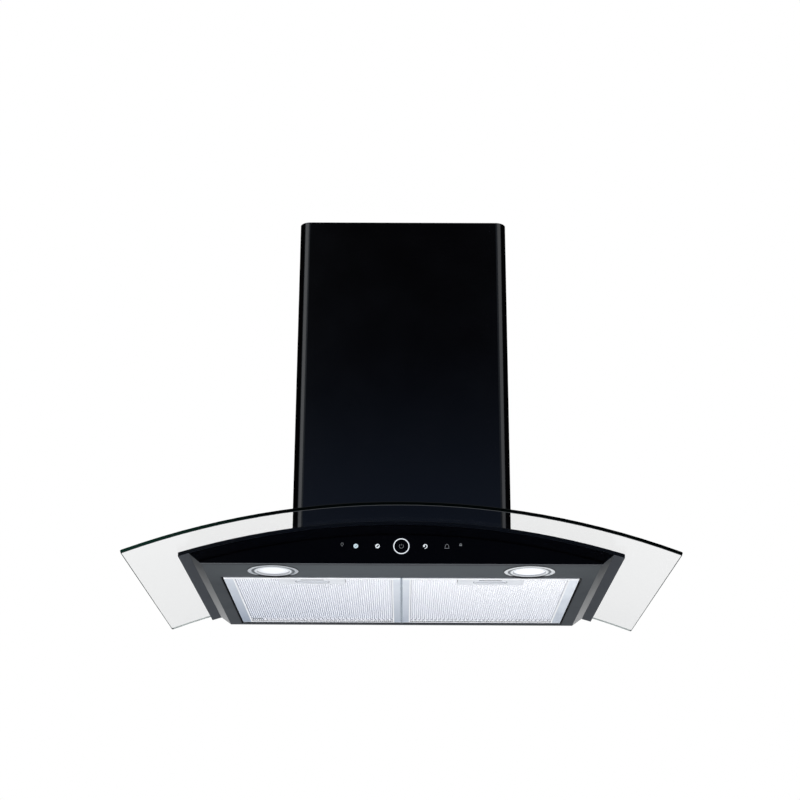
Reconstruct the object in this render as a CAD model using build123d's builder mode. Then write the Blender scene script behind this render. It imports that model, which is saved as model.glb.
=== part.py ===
from build123d import *
import math
import os

os.makedirs("parts", exist_ok=True)

# Wall hood with a bent glass canopy, a steel body with two grease filters and
# two lamps, a centrifugal fan, and a chimney of two telescopic covers.
# X runs to the right as seen from the room, Y into the wall, Z up.
# The wall is the plane y = 0, and the origin is the centre of the four wall screws.
# Lengths are in millimetres, angles in degrees. Depths are distances from the wall.

# ------------------------------------------------------------------ sizes

# Glass canopy, an arc across the hood
glass_width = 750
glass_depth = 500
glass_thickness = 5
glass_rise = 69          # underside at the crown above the underside at the side edges
glass_corner_r = 3
glass_arris = 0.5
wall_gap = 1             # from the wall to the glass and to the rear edges of the covers

# Steel body under the glass
screw_rise = 200         # wall screws' centre above the underside of the pan
crown_height = 62.5      # glass underside at the crown above the underside of the pan
body_depth = 422
pan_width = 552          # flat underside
side_band = 19.3         # flat underside beside the filters
wall_lean = 18           # outward lean of each side wall, up to the top plate
rear_foot = 17.5         # height and depth of the slope along the rear edge
sheet = 1.2              # steel of body, fan box and scroll
top_overhang = 14.5      # top plate beyond the side walls
hem_height = 5           # folded rim of the top plate
hem_seat = 4.5           # reach of that rim over the side walls
front_lip = 9            # rim that carries the control glass
window_width_front = 460 # opening inside that rim
tape = 0.5               # sealing tape between top plate and glass
tape_width = 14
tape_edge = 1            # from the plate's edges to the tape
settle = 0.02            # pieces that only touch a bent sheet clear it by this much

# Opening for the two filters
opening_rear = 26
lip_height = 6           # turned-up edge round the opening

# Control glass
panel_thickness = 4
panel_gap = 0.3
ring_d = 23.6
ring_band = 1.9
ring_inlay = 0.8
board_margin = 13        # board beyond the outer touch pads
board_height = 24
board_thickness = 1.6
carrier_depth = 9
carrier_wall = 2
carrier_gap = 1.8        # from the rim up to the carrier
pad_size = 6
pad_x = (-82, -63, -33, 0, 33, 63, 82)

# Lamps
lamp_x = 179.5
lens_d = 46
lens_crown = 1.2
lens_seat = 3.5          # ledge on which the lens rests
lens_sink = 1.2          # ledge above the pan's underside
lens_drop = 1.4          # middle of the lens below its ledge
bezel_band = 13.5        # lamp ring outside the lens
bezel_margin = 2.5       # pan left in front of and behind the ring
bezel_drop = 1.4
hole_play = 1            # lamp hole round the sleeve
lamp_sleeve_wall = 2
lamp_sleeve_height = 12
sink_gap = 12            # from the heat sink to the top plate
sink_base = 3
sink_fins = 9
clip_width = 10
clip_thickness = 0.8
clip_rise = 5            # bend of the clip above the pan
clip_reach = 10          # foot of the clip beyond the sleeve
lens_rim = 2
bezel_rim = 1            # bevel round the lamp ring
bezel_step = 5           # flat rim of the ring, bevel included
diode = 3
diode_height = 1

# Grease filters
filter_side_gap = 2.9
filter_front_gap = 0.8
filter_mid_gap = 3
filter_rear_gap = 8.5
filter_drop = 1.2        # how far the frames stand below the pan
filter_wall = 1
border_outer = 15.4
border_inner = 12
border_front = 5.5
border_rear = 10
mesh_pitch = 3.2
mesh_ridge = 2.4
backing = 0.8            # mesh above its ridges
hook_width = 20
hook_spread = 160
hook_gap = 0.8
hook_drop = 2.5

# Filter latch
latch_plate_width = 94
latch_box_width = 66
latch_box_height = 4
window_width = 47
window_depth = 18
slider_depth = 20
slider_thickness = 2
slider_gap = 0.3
latch_travel = 5
spring_room = 2.7        # left for the flattened spring behind the slider at full travel
grip_width = 34
grip_depth = 5
bolt_width = 12
bolt_reach = 2.2
spring_sheet = 0.4
spring_span = 44

# Fan box on the glass
air_margin = 14          # air opening inside the sides of the fan box
air_front_margin = 8
air_rear = 22
air_corner_r = 18
glass_margin = 4         # the glass is cut this much wider than the plate
box_side_gap = 26.25     # from the fan box to the inside of the upper cover
box_front_gap = 29
box_flange = 20
box_gasket = 1
box_flange_rear = 8
wall_screw_x = 220
wall_screw_z = 130
wall_screw_d = 8

# Clamp screws through flange, glass and top plate
clamp_rear = 40
clamp_front = 23         # from the box's front to the front clamps
clamp_d = 6
clamp_play = 0.4
bush_wall = 1.2
clamp_head_d = 11
clamp_head_height = 4
clamp_tip = 1            # screw beyond its nut
nut_d = 11
nut_height = 5

# Fan
scroll_rear = 20         # inside of the scroll from the wall
scroll_play = 3.6        # from the scroll's flange to the front of the box
scroll_foot_gap = 15.8   # from the glass crown to the scroll
outlet_run = 8           # straight outlet above the first turn
scroll_growth = 10
scroll_width = 138
tongue_angle = 82
scroll_flange = 12
inlet_step = 1           # inlet inside the blades
inlet_lip = 1.6
ring_lip = 1             # inlet ring inside the scroll
inlet_rim = 12
wheel_gap = 14           # from the blades to the nearest turn of the scroll
wheel_side_gap = 2.8     # from the wheel to the inlet rings
blade_count = 28
blade_depth = 11
blade_thickness = 1
rim_width = 3
hub_r = 12
hub_length = 14
shaft_d = 8
shaft_play = 0.05
motor_r = 44
motor_gap = 5.6          # from the motor to its bracket
motor_start = 12
motor_round = 7          # bevel at both ends of the motor
bearing_r = 13
arm_width = 11
arm_thickness = 2
fan_screw_head = 7
fan_screw_height = 2.4
arm_gap = 3              # bracket clear of the inlet ring
boss_rim = 12            # bracket's middle beyond the bearing
foot_rim = 7             # bracket's feet beyond the inlet ring
shaft_tail = 8
hub_nut_length = 6

# Outlet collar with its two flaps
duct_d = 149
collar_height = 46
collar_wall = 1.2
collar_rim = 9.5         # foot of the collar outside its wall
collar_seat = 62
flap_thickness = 1
flap_play = 1
flap_rest = 0.3
pin_d = 3
pin_play = 0.08
pin_offset = 5
knuckle_wall = 1.4
knuckle_length = 22

# Supply box on the fan box
supply_width = 120
supply_gap = 8           # from the foot of the collar to the supply box
supply_height = 38
supply_wall = 2
supply_rear = 14
gland_bore = 9
gland_d = 20
gland_height = 14
terminal_gap = 3         # from the terminals to the wall beside them
gland_thread = 7         # radius of the gland in the lid
capacitor_d = 28
capacitor_length = 58
terminal_width = 34
terminal_height = 12
terminal_tower = 6

# Chimney
chimney_width = 326.5
chimney_depth = 280
chimney_rise = 525       # top edge above the top of the glass crown
chimney_corner_r = 16
cover_sheet = 1
cover_gap = 1            # between the two covers
cover_lip = 12
upper_drop = 0.5
bracket_leg = 28
bracket_width = 40
bracket_depth = 130
bracket_sheet = 2
seat_gap = 0.3
top_bracket_drop = 15
top_bracket_height = 30
top_bracket_sheet = 1.5
top_bracket_leg = 26
top_screw_x = 120
top_screw_d = 7
top_foot_d = 26
side_screw_d = 4
side_screw_head = 8
side_screw_height = 2
side_screw_tip = 3       # beyond the bracket

# ------------------------------------------------------- derived places

pan_z = -screw_rise
pan_top = pan_z + sheet
pan_half = pan_width / 2
wall_half = pan_half + wall_lean
top_half = wall_half + top_overhang
hem_width = top_overhang + hem_seat

glass_under_r = (glass_width**2 / 4 + glass_rise**2) / (2 * glass_rise)
glass_top_r = glass_under_r + glass_thickness
arc_centre_z = pan_z + crown_height - glass_under_r
crown_top = arc_centre_z + glass_top_r
plate_top_r = glass_under_r - tape
hem_under_r = plate_top_r - hem_height
flange_under_r = glass_top_r + box_gasket
flange_top_r = flange_under_r + sheet


def arc_z(x, radius):
    """Height, at a distance x from the middle, of an arc about the glass's centre."""
    return arc_centre_z + math.sqrt(radius**2 - x**2)


wall_rise = arc_z(wall_half, hem_under_r) - pan_z
wall_angle = math.atan2(wall_rise, wall_half - pan_half)
wall_direction = Vector(math.cos(wall_angle), math.sin(wall_angle))


def wall_point(inset, radius):
    """Where the sloped side wall, moved in by inset, meets the arc of this radius."""
    start = Vector(pan_half - inset * math.sin(wall_angle), pan_z + inset * math.cos(wall_angle))
    from_centre = start - Vector(0, arc_centre_z)
    along = from_centre.dot(wall_direction)
    reach = math.sqrt(along**2 - from_centre.dot(from_centre) + radius**2) - along
    return start + wall_direction * reach


def glass_plane(x, depth, radius):
    """Plane square to the glass at a place on its underside, moved out or in to a radius."""
    lean = math.asin(x / glass_under_r)
    return Plane(
        origin=(radius * math.sin(lean), -depth, arc_centre_z + radius * math.cos(lean)),
        x_dir=(math.cos(lean), 0, -math.sin(lean)),
        z_dir=(math.sin(lean), 0, math.cos(lean)),
    )


def arc_band(half_width, inner_r, outer_r):
    """Strip across the hood between two arcs, cut upright at both sides."""
    with BuildSketch() as band:
        with BuildLine():
            upper = ThreePointArc(
                (-half_width, arc_z(half_width, outer_r)),
                (0, arc_z(0, outer_r)),
                (half_width, arc_z(half_width, outer_r)),
            )
            lower = ThreePointArc(
                (-half_width, arc_z(half_width, inner_r)),
                (0, arc_z(0, inner_r)),
                (half_width, arc_z(half_width, inner_r)),
            )
            Line(upper @ 0, lower @ 0)
            Line(upper @ 1, lower @ 1)
        make_face()
    return band.sketch


def above_arc(half_width, radius, top_z):
    """Area across the hood from an arc up to a level top."""
    with BuildSketch() as area:
        with BuildLine():
            floor = ThreePointArc(
                (-half_width, arc_z(half_width, radius)),
                (0, arc_z(0, radius)),
                (half_width, arc_z(half_width, radius)),
            )
            Polyline(floor @ 0, (-half_width, top_z), (half_width, top_z), floor @ 1)
        make_face()
    return area.sketch


def below_arc(half_width, bottom_z, radius):
    """Area across the hood from a level floor up to an arc."""
    with BuildSketch() as area:
        with BuildLine():
            roof = ThreePointArc(
                (-half_width, arc_z(half_width, radius)),
                (0, arc_z(0, radius)),
                (half_width, arc_z(half_width, radius)),
            )
            Polyline(roof @ 0, (-half_width, bottom_z), (half_width, bottom_z), roof @ 1)
        make_face()
    return area.sketch


def body_outline(inset, top_r):
    """Section of the body across the hood, moved in by inset at the pan and the side walls."""
    corner = pan_half - inset * math.tan(wall_angle / 2)
    shoulder = wall_point(inset, top_r)
    with BuildSketch() as outline:
        with BuildLine():
            roof = ThreePointArc(
                (-shoulder.X, shoulder.Y), (0, arc_z(0, top_r)), (shoulder.X, shoulder.Y)
            )
            Polyline(roof @ 0, (-corner, pan_z + inset), (corner, pan_z + inset), roof @ 1)
        make_face()
    return outline.sketch


def body_block(inset, top_r, rear, front):
    """Solid of the body's section, with the sloped foot along the wall moved in as well."""
    foot = rear_foot + inset * math.sqrt(2)
    with BuildPart() as block:
        with BuildSketch(Plane.XZ.offset(rear)):
            add(body_outline(inset, top_r))
        extrude(amount=front - rear)
        with BuildSketch(Plane.YZ):
            with BuildLine():
                Polyline((-foot, pan_z), (0, pan_z), (0, pan_z + foot), close=True)
            make_face()
        extrude(amount=glass_width, both=True, mode=Mode.SUBTRACT)
    return block.part


def level_rectangle(width, rear, front, corner_r=0):
    """Rectangle seen from above, centred across the hood, between two depths."""
    with BuildSketch() as area:
        with Locations((0, -(rear + front) / 2)):
            if corner_r:
                RectangleRounded(width, front - rear, corner_r)
            else:
                Rectangle(width, front - rear)
    return area.sketch


cover_step = cover_sheet + cover_gap
chimney_half = chimney_width / 2
upper_half = chimney_half - cover_step
box_half = upper_half - cover_sheet - box_side_gap
box_depth = chimney_depth - cover_step - cover_sheet - box_front_gap
flange_half = box_half + box_flange
air_width = 2 * (box_half - air_margin)
air_front = box_depth - air_front_margin
clamp_x = box_half + box_flange / 2
clamp_places = [
    (side * clamp_x, depth) for side in (-1, 1) for depth in (clamp_rear, box_depth - clamp_front)
]
clamp_hole_r = clamp_d / 2 + clamp_play
glass_hole_r = clamp_hole_r + bush_wall
sides = ((-1, "left"), (1, "right"))

# ------------------------------------------------------------ glass canopy

half_arc = math.degrees(math.asin(glass_width / 2 / glass_top_r))
with BuildPart() as glass_canopy:
    with BuildSketch(Plane.XZ.offset(wall_gap)):
        with BuildLine():
            top_arc = CenterArc((0, arc_centre_z), glass_top_r, 90 - half_arc, 2 * half_arc)
            under_arc = CenterArc((0, arc_centre_z), glass_under_r, 90 - half_arc, 2 * half_arc)
            Line(top_arc @ 0, under_arc @ 0)
            Line(top_arc @ 1, under_arc @ 1)
        make_face()
    extrude(amount=glass_depth - wall_gap)
    corner_edges = glass_canopy.edges().filter_by(GeomType.LINE).filter_by(Axis.Y, reverse=True)
    fillet(corner_edges, glass_corner_r)
    chamfer(glass_canopy.faces().sort_by(SortBy.AREA)[-2:].edges(), glass_arris)
    with BuildSketch(Plane.XY.offset(pan_z)):
        add(level_rectangle(air_width + 2 * glass_margin, air_rear - glass_margin,
                            air_front + glass_margin, air_corner_r + glass_margin))
    extrude(amount=2 * crown_height, mode=Mode.SUBTRACT)
    for x, depth in clamp_places:
        with BuildSketch(glass_plane(x, depth, glass_under_r)):
            Circle(glass_hole_r)
        extrude(amount=2 * glass_thickness, both=True, mode=Mode.SUBTRACT)
glass_canopy.part.label = "glass_canopy"
export_step(glass_canopy.part, "parts/glass_canopy.step")

# Sealing tape on the rim of the top plate and round the air opening
with BuildPart() as glass_tape:
    with BuildSketch(Plane.XZ.offset(wall_gap)):
        add(arc_band(top_half - tape_edge, plate_top_r + settle, glass_under_r - settle))
    extrude(amount=body_depth - tape_edge - wall_gap)
    with BuildSketch(Plane.XY.offset(pan_z)):
        add(level_rectangle(2 * (top_half - tape_edge - tape_width), wall_gap + tape_width,
                            body_depth - tape_edge - tape_width))
    extrude(amount=2 * crown_height, mode=Mode.SUBTRACT)
glass_tape.part.label = "glass_tape"
export_step(glass_tape.part, "parts/glass_tape.step")

inner_tape_rear = wall_gap + tape_width + tape
with BuildPart() as inner_tape:
    with BuildSketch(Plane.XZ.offset(inner_tape_rear)):
        add(arc_band(air_width / 2 + tape_width, plate_top_r + settle, glass_under_r - settle))
    extrude(amount=air_front + tape_width - inner_tape_rear)
    with BuildSketch(Plane.XY.offset(pan_z)):
        add(level_rectangle(air_width + 2 * glass_margin, air_rear - glass_margin,
                            air_front + glass_margin, air_corner_r + glass_margin))
    extrude(amount=2 * crown_height, mode=Mode.SUBTRACT)
inner_tape.part.label = "inner_tape"
export_step(inner_tape.part, "parts/inner_tape.step")

# --------------------------------------------------------------- top plate

with BuildPart() as top_plate:
    with BuildSketch(Plane.XZ):
        add(arc_band(top_half, hem_under_r, plate_top_r))
    extrude(amount=body_depth)
    with BuildSketch(Plane.XZ.offset(hem_width)):
        add(arc_band(top_half - hem_width, hem_under_r - hem_height, plate_top_r - sheet))
    extrude(amount=body_depth - 2 * hem_width, mode=Mode.SUBTRACT)
    with BuildSketch(Plane.XY.offset(pan_z)):
        add(level_rectangle(air_width, air_rear, air_front, air_corner_r))
    extrude(amount=2 * crown_height, mode=Mode.SUBTRACT)
    for x, depth in clamp_places:
        with BuildSketch(glass_plane(x, depth, plate_top_r)):
            Circle(clamp_hole_r)
        extrude(amount=2 * sheet, both=True, mode=Mode.SUBTRACT)
top_plate.part.label = "top_plate"
export_step(top_plate.part, "parts/top_plate.step")

# -------------------------------------------------------------- hood shell

lens_r = lens_d / 2
bezel_r = lens_r + bezel_band
sleeve_bore = lens_r + lens_seat
sleeve_r = sleeve_bore + lamp_sleeve_wall
front_band = 2 * (bezel_r + bezel_margin)
lamp_depth = body_depth - front_band / 2
opening_width = pan_width - 2 * side_band
opening_front = body_depth - front_band
panel_back = body_depth - panel_thickness
pivot_depth = opening_rear - sheet / 2
pivot_z = pan_z + lip_height
filter_rear = opening_rear + filter_rear_gap
filter_width = (opening_width - 2 * filter_side_gap - filter_mid_gap) / 2
filter_front = opening_front - filter_front_gap
filter_x = (filter_mid_gap + filter_width) / 2

with BuildPart() as hood_shell:
    add(body_block(0, hem_under_r, 0, body_depth))
    add(body_block(sheet, hem_under_r + hem_height, sheet, body_depth), mode=Mode.SUBTRACT)
    # rim behind the control glass
    with BuildSketch(Plane.XZ.offset(panel_back - sheet)):
        add(body_outline(sheet, hem_under_r))
        add(below_arc(window_width_front / 2, pan_top + front_lip, hem_under_r - front_lip),
            mode=Mode.SUBTRACT)
    extrude(amount=sheet)
    # filter opening with its turned-up edge
    with BuildSketch(Plane.XY.offset(pan_z)):
        add(level_rectangle(opening_width + 2 * sheet, opening_rear - sheet, opening_front + sheet))
    extrude(amount=lip_height)
    # round edge along the top of the rear lip, on which the filters pivot
    with BuildSketch(Plane.YZ.offset(-opening_width / 2)):
        with Locations((-pivot_depth, pivot_z)):
            Circle(sheet / 2)
    extrude(amount=opening_width)
    with BuildSketch(Plane.XY.offset(pan_z)):
        add(level_rectangle(opening_width, opening_rear, opening_front))
        # keeper notches for the two latch bolts
        with Locations(*[(side * filter_x, -opening_front) for side, _ in sides]):
            Rectangle(bolt_width + 2 * slider_gap, 2 * (bolt_reach + sheet))
    extrude(amount=lip_height, mode=Mode.SUBTRACT)
    with BuildSketch(Plane.XY.offset(pan_z)):
        with Locations(*[(side * lamp_x, -lamp_depth) for side, _ in sides]):
            Circle(sleeve_r + hole_play)
    extrude(amount=sheet, mode=Mode.SUBTRACT)
hood_shell.part.label = "hood_shell"
export_step(hood_shell.part, "parts/hood_shell.step")

# ----------------------------------------------------- control glass, board

icon_z = pan_top + front_lip + carrier_gap + carrier_wall + board_height / 2
board_width = 2 * (max(pad_x) + board_margin)
with BuildPart() as control_panel:
    with BuildSketch(Plane.XZ.offset(panel_back)):
        add(body_outline(sheet + panel_gap, hem_under_r - panel_gap))
    extrude(amount=panel_thickness)
    with BuildSketch(Plane.XZ.offset(body_depth - ring_inlay)):
        with Locations((0, icon_z)):
            Circle(ring_d / 2)
            Circle(ring_d / 2 - ring_band, mode=Mode.SUBTRACT)
    extrude(amount=ring_inlay, mode=Mode.SUBTRACT)
control_panel.part.label = "control_panel"
export_step(control_panel.part, "parts/control_panel.step")

with BuildPart() as power_ring:
    with BuildSketch(Plane.XZ.offset(body_depth - ring_inlay)):
        with Locations((0, icon_z)):
            Circle(ring_d / 2)
            Circle(ring_d / 2 - ring_band, mode=Mode.SUBTRACT)
    extrude(amount=ring_inlay)
power_ring.part.label = "power_ring"
export_step(power_ring.part, "parts/power_ring.step")

pad_length = carrier_depth - carrier_wall - board_thickness
with BuildPart() as touch_carrier:
    with BuildSketch(Plane.XZ.offset(panel_back - carrier_depth)):
        with Locations((0, icon_z)):
            RectangleRounded(board_width + 2 * carrier_wall, board_height + 2 * carrier_wall, carrier_wall)
    extrude(amount=carrier_depth)
    with BuildSketch(Plane.XZ.offset(panel_back - carrier_depth + carrier_wall)):
        with Locations((0, icon_z)):
            Rectangle(board_width, board_height)
    extrude(amount=carrier_depth, mode=Mode.SUBTRACT)
touch_carrier.part.label = "touch_carrier"
export_step(touch_carrier.part, "parts/touch_carrier.step")

with BuildPart() as touch_board:
    with BuildSketch(Plane.XZ.offset(panel_back - carrier_depth + carrier_wall)):
        with Locations((0, icon_z)):
            Rectangle(board_width - 2 * slider_gap, board_height - 2 * slider_gap)
    extrude(amount=board_thickness)
    with BuildSketch(Plane.XZ.offset(panel_back - pad_length)):
        with Locations(*[(x, icon_z) for x in pad_x]):
            Rectangle(pad_size, pad_size)
    extrude(amount=pad_length)
touch_board.part.label = "touch_board"
export_step(touch_board.part, "parts/touch_board.step")

# ------------------------------------------------------------------- lamps

sleeve_top = pan_z + lamp_sleeve_height
sink_top = arc_z(lamp_x + sleeve_r, plate_top_r - sheet) - sink_gap
seat_z = pan_z + lens_sink
lens_bottom = seat_z - lens_drop
lens_edge = lens_r - seat_gap
groove_z = pan_z - bezel_drop * 0.2
bead_z = pan_z - bezel_drop * 0.8
lens_top = seat_z + lens_rim
for side, name in sides:
    lamp_plane = Plane(origin=(side * lamp_x, -lamp_depth, 0), x_dir=(1, 0, 0), z_dir=(0, -1, 0))
    lamp_axis = Axis((side * lamp_x, -lamp_depth, 0), (0, 0, 1))

    # stepped ring below the pan with a sleeve through it
    with BuildPart() as lamp_bezel:
        with BuildSketch(lamp_plane):
            with BuildLine():
                Polyline(
                    (bezel_r, pan_z),
                    (bezel_r - bezel_rim, pan_z - bezel_drop),
                    (bezel_r - bezel_step, pan_z - bezel_drop),
                    (bezel_r - bezel_step, groove_z),
                    (lens_r, bead_z),
                    (lens_r, seat_z),
                    (sleeve_bore, seat_z),
                    (sleeve_bore, sleeve_top),
                    (sleeve_r, sleeve_top),
                    (sleeve_r, pan_z),
                    close=True,
                )
            make_face()
        revolve(axis=lamp_axis)
    lamp_bezel.part.label = f"lamp_bezel_{name}"
    export_step(lamp_bezel.part, f"parts/lamp_bezel_{name}.step")

    # lens with a low crown below, its rim held on the seat of the ring
    with BuildPart() as lamp_lens:
        with BuildSketch(lamp_plane):
            with BuildLine():
                Polyline(
                    (0, lens_top),
                    (sleeve_bore - seat_gap, lens_top),
                    (sleeve_bore - seat_gap, seat_z),
                    (lens_edge, seat_z),
                    (lens_edge, lens_bottom + lens_crown),
                    (0, lens_bottom),
                    close=True,
                )
            make_face()
        revolve(axis=lamp_axis)
    lamp_lens.part.label = f"lamp_lens_{name}"
    export_step(lamp_lens.part, f"parts/lamp_lens_{name}.step")

    # light board and finned heat sink on the sleeve
    with BuildPart() as lamp_board:
        with BuildSketch(Plane.XY.offset(sleeve_top - board_thickness)):
            with Locations((side * lamp_x, -lamp_depth)):
                Circle(sleeve_bore - seat_gap)
        extrude(amount=board_thickness)
        with BuildSketch(Plane.XY.offset(sleeve_top - board_thickness - diode_height)):
            with Locations((side * lamp_x, -lamp_depth)):
                with PolarLocations(sleeve_bore * 0.6, 6):
                    Rectangle(diode, diode)
        extrude(amount=diode_height)
    lamp_board.part.label = f"lamp_board_{name}"
    export_step(lamp_board.part, f"parts/lamp_board_{name}.step")

    with BuildPart() as lamp_sink:
        with BuildSketch(Plane.XY.offset(sleeve_top)):
            with Locations((side * lamp_x, -lamp_depth)):
                Circle(sleeve_r)
        extrude(amount=sink_base)
        fin_pitch = 2 * sleeve_r / (sink_fins + 1)
        with BuildSketch(Plane.XY.offset(sleeve_top + sink_base)):
            with Locations((side * lamp_x, -lamp_depth)):
                with GridLocations(fin_pitch, 0, sink_fins, 1):
                    Rectangle(fin_pitch / 3, 2 * sleeve_r)
                Circle(sleeve_r, mode=Mode.INTERSECT)
        extrude(amount=sink_top - sleeve_top - sink_base)
    lamp_sink.part.label = f"lamp_sink_{name}"
    export_step(lamp_sink.part, f"parts/lamp_sink_{name}.step")

    # two bent spring strips that press the lamp up against the pan
    with BuildPart() as lamp_clips:
        for way in (-1, 1):
            foot = side * lamp_x + way * (sleeve_r + clip_thickness)
            toe = foot + way * clip_reach
            bend = clip_reach / 2
            with BuildSketch(Plane.XZ.offset(lamp_depth - clip_width / 2)):
                with BuildLine():
                    Polyline(
                        (side * lamp_x + way * sleeve_r, sleeve_top - 1),
                        (foot, sleeve_top - 1),
                        (foot, pan_top + clip_rise),
                        (foot + way * bend, pan_top + clip_thickness),
                        (toe, pan_top + clip_thickness),
                        (toe, pan_top),
                        (foot + way * (bend - clip_thickness / 2), pan_top),
                        (foot - way * clip_thickness, pan_top + clip_rise - clip_thickness / 2),
                        close=True,
                    )
                make_face()
            extrude(amount=clip_width)
    lamp_clips.part.label = f"lamp_clips_{name}"
    export_step(lamp_clips.part, f"parts/lamp_clips_{name}.step")

# ----------------------------------------------------------- grease filters

frame_bottom = pan_z - filter_drop
frame_top = pan_z + lip_height + hook_gap + filter_wall
filter_height = frame_top - frame_bottom
floor_z = frame_bottom + filter_wall
filter_depth = filter_front - filter_rear
border_end = filter_front - border_front
latch_plate_depth = slider_gap + slider_depth + latch_travel + spring_room + 2 * filter_wall
latch_rear = border_end - latch_plate_depth
latch_box_front = border_end - filter_wall
slider_front = latch_box_front - slider_gap
slider_rear = slider_front - slider_depth
latch_box_rear = latch_rear + filter_wall
bolt_bottom = floor_z + slider_gap
bolt_top = bolt_bottom + slider_thickness

for side, name in sides:
    middle = side * filter_x
    window_left = middle - filter_width / 2 + (border_outer if side < 0 else border_inner)
    window_right = middle + filter_width / 2 - (border_inner if side < 0 else border_outer)
    window_middle = (window_left + window_right) / 2
    window_span = window_right - window_left

    # folded aluminium channel all round, with hooks over the rear lip
    with BuildPart() as filter_frame:
        with BuildSketch(Plane.XY.offset(frame_bottom)):
            with Locations((middle, -(filter_front + filter_rear) / 2)):
                Rectangle(filter_width, filter_depth)
        extrude(amount=filter_height)
        fillet(filter_frame.edges().group_by(Axis.Z)[0], filter_wall * 0.8)
        with BuildSketch(Plane.XY.offset(floor_z)):
            with Locations((middle, -(filter_front + filter_rear) / 2)):
                Rectangle(filter_width - 2 * filter_wall, filter_depth - 2 * filter_wall)
        extrude(amount=filter_height - 2 * filter_wall, mode=Mode.SUBTRACT)
        with BuildSketch(Plane.XY.offset(frame_bottom)):
            with Locations((window_middle, -(border_end + filter_rear + border_rear) / 2)):
                Rectangle(window_span, border_end - filter_rear - border_rear)
        extrude(amount=filter_height, mode=Mode.SUBTRACT)
        with BuildSketch(Plane.XZ.offset(filter_front - filter_wall)):
            with Locations((middle, (bolt_bottom + bolt_top) / 2)):
                Rectangle(bolt_width + 2 * slider_gap, slider_thickness + slider_gap)
        extrude(amount=filter_wall, mode=Mode.SUBTRACT)
        for hook_x in (middle - hook_spread / 2, middle + hook_spread / 2):
            with BuildSketch(Plane.YZ.offset(hook_x - hook_width / 2)):
                hook_inside = opening_rear - sheet - hook_gap
                with BuildLine():
                    Polyline(
                        (-filter_rear, frame_top),
                        (-hook_inside + filter_wall, frame_top),
                        (-hook_inside + filter_wall, pivot_z - hook_drop),
                        (-hook_inside, pivot_z - hook_drop),
                        (-hook_inside, pivot_z + hook_gap),
                        (-filter_rear, pivot_z + hook_gap),
                        close=True,
                    )
                make_face()
            extrude(amount=hook_width)
    filter_frame.part.label = f"filter_frame_{name}"
    export_step(filter_frame.part, f"parts/filter_frame_{name}.step")

    # mesh on the floor of the channel, ridged below and flat on top
    mesh_width = filter_width - 2 * filter_wall - 2 * slider_gap
    mesh_rear = filter_rear + filter_wall + slider_gap
    mesh_front = filter_front - filter_wall - slider_gap
    ridges = int(mesh_width / mesh_pitch)
    ridge_width = mesh_width / ridges
    first = middle - mesh_width / 2
    valleys = [(first + i * ridge_width, floor_z) for i in range(ridges + 1)]
    crests = [(first + (i + 0.5) * ridge_width, floor_z + mesh_ridge) for i in range(ridges)]
    last = first + mesh_width
    mesh_top = floor_z + mesh_ridge + backing
    with BuildPart() as filter_mesh:
        with BuildSketch(Plane.XZ.offset(mesh_rear)):
            with BuildLine():
                Polyline(*sorted(valleys + crests), (last, mesh_top), (first, mesh_top), close=True)
            make_face()
        extrude(amount=mesh_front - mesh_rear)
        with BuildSketch(Plane.XY.offset(frame_bottom)):
            with Locations((middle, -(latch_rear + filter_front) / 2)):
                Rectangle(latch_plate_width + 2 * slider_gap, filter_front - latch_rear + 2 * slider_gap)
        extrude(amount=filter_height, mode=Mode.SUBTRACT)
    filter_mesh.part.label = f"filter_mesh_{name}"
    export_step(filter_mesh.part, f"parts/filter_mesh_{name}.step")

    # plate with a finger window and a shallow box that guides the latch
    with BuildPart() as latch_plate:
        with BuildSketch(Plane.XY.offset(frame_bottom)):
            with Locations((middle, -(latch_rear + border_end) / 2)):
                Rectangle(latch_plate_width, latch_plate_depth)
        extrude(amount=filter_wall)
        with BuildSketch(Plane.XY.offset(floor_z)):
            with Locations((middle, -(latch_rear + border_end) / 2)):
                Rectangle(latch_box_width, latch_plate_depth)
        extrude(amount=latch_box_height + filter_wall)
        with BuildSketch(Plane.XY.offset(floor_z)):
            with Locations((middle, -(latch_box_front + latch_box_rear) / 2)):
                Rectangle(latch_box_width - 2 * filter_wall, latch_box_front - latch_box_rear)
        extrude(amount=latch_box_height, mode=Mode.SUBTRACT)
        with BuildSketch(Plane.XY.offset(frame_bottom)):
            with Locations((middle, -(slider_front + slider_rear) / 2)):
                SlotOverall(window_width, window_depth)
        extrude(amount=filter_wall, mode=Mode.SUBTRACT)
        with BuildSketch(Plane.XZ.offset(latch_box_front)):
            with Locations((middle, (bolt_bottom + bolt_top) / 2)):
                Rectangle(bolt_width + 2 * slider_gap, slider_thickness + slider_gap)
        extrude(amount=filter_wall, mode=Mode.SUBTRACT)
    latch_plate.part.label = f"latch_plate_{name}"
    export_step(latch_plate.part, f"parts/latch_plate_{name}.step")

    # sliding latch: carriage, finger grip in the window, bolt through the frame
    with BuildPart() as filter_latch:
        with BuildSketch(Plane.XY.offset(bolt_bottom)):
            with Locations((middle, -(slider_front + slider_rear) / 2)):
                Rectangle(latch_box_width - 2 * filter_wall - 2 * slider_gap, slider_depth)
            with Locations((middle, -(opening_front + bolt_reach + slider_front) / 2)):
                Rectangle(bolt_width, opening_front + bolt_reach - slider_front)
        extrude(amount=slider_thickness)
        with BuildSketch(Plane.XY.offset(bolt_bottom)):
            with Locations((middle, -(slider_front + slider_rear) / 2 - window_depth / 5)):
                SlotOverall(grip_width, grip_depth)
        extrude(amount=-(filter_wall + slider_gap))
    filter_latch.part.label = f"filter_latch_{name}"
    export_step(filter_latch.part, f"parts/filter_latch_{name}.step")

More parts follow.
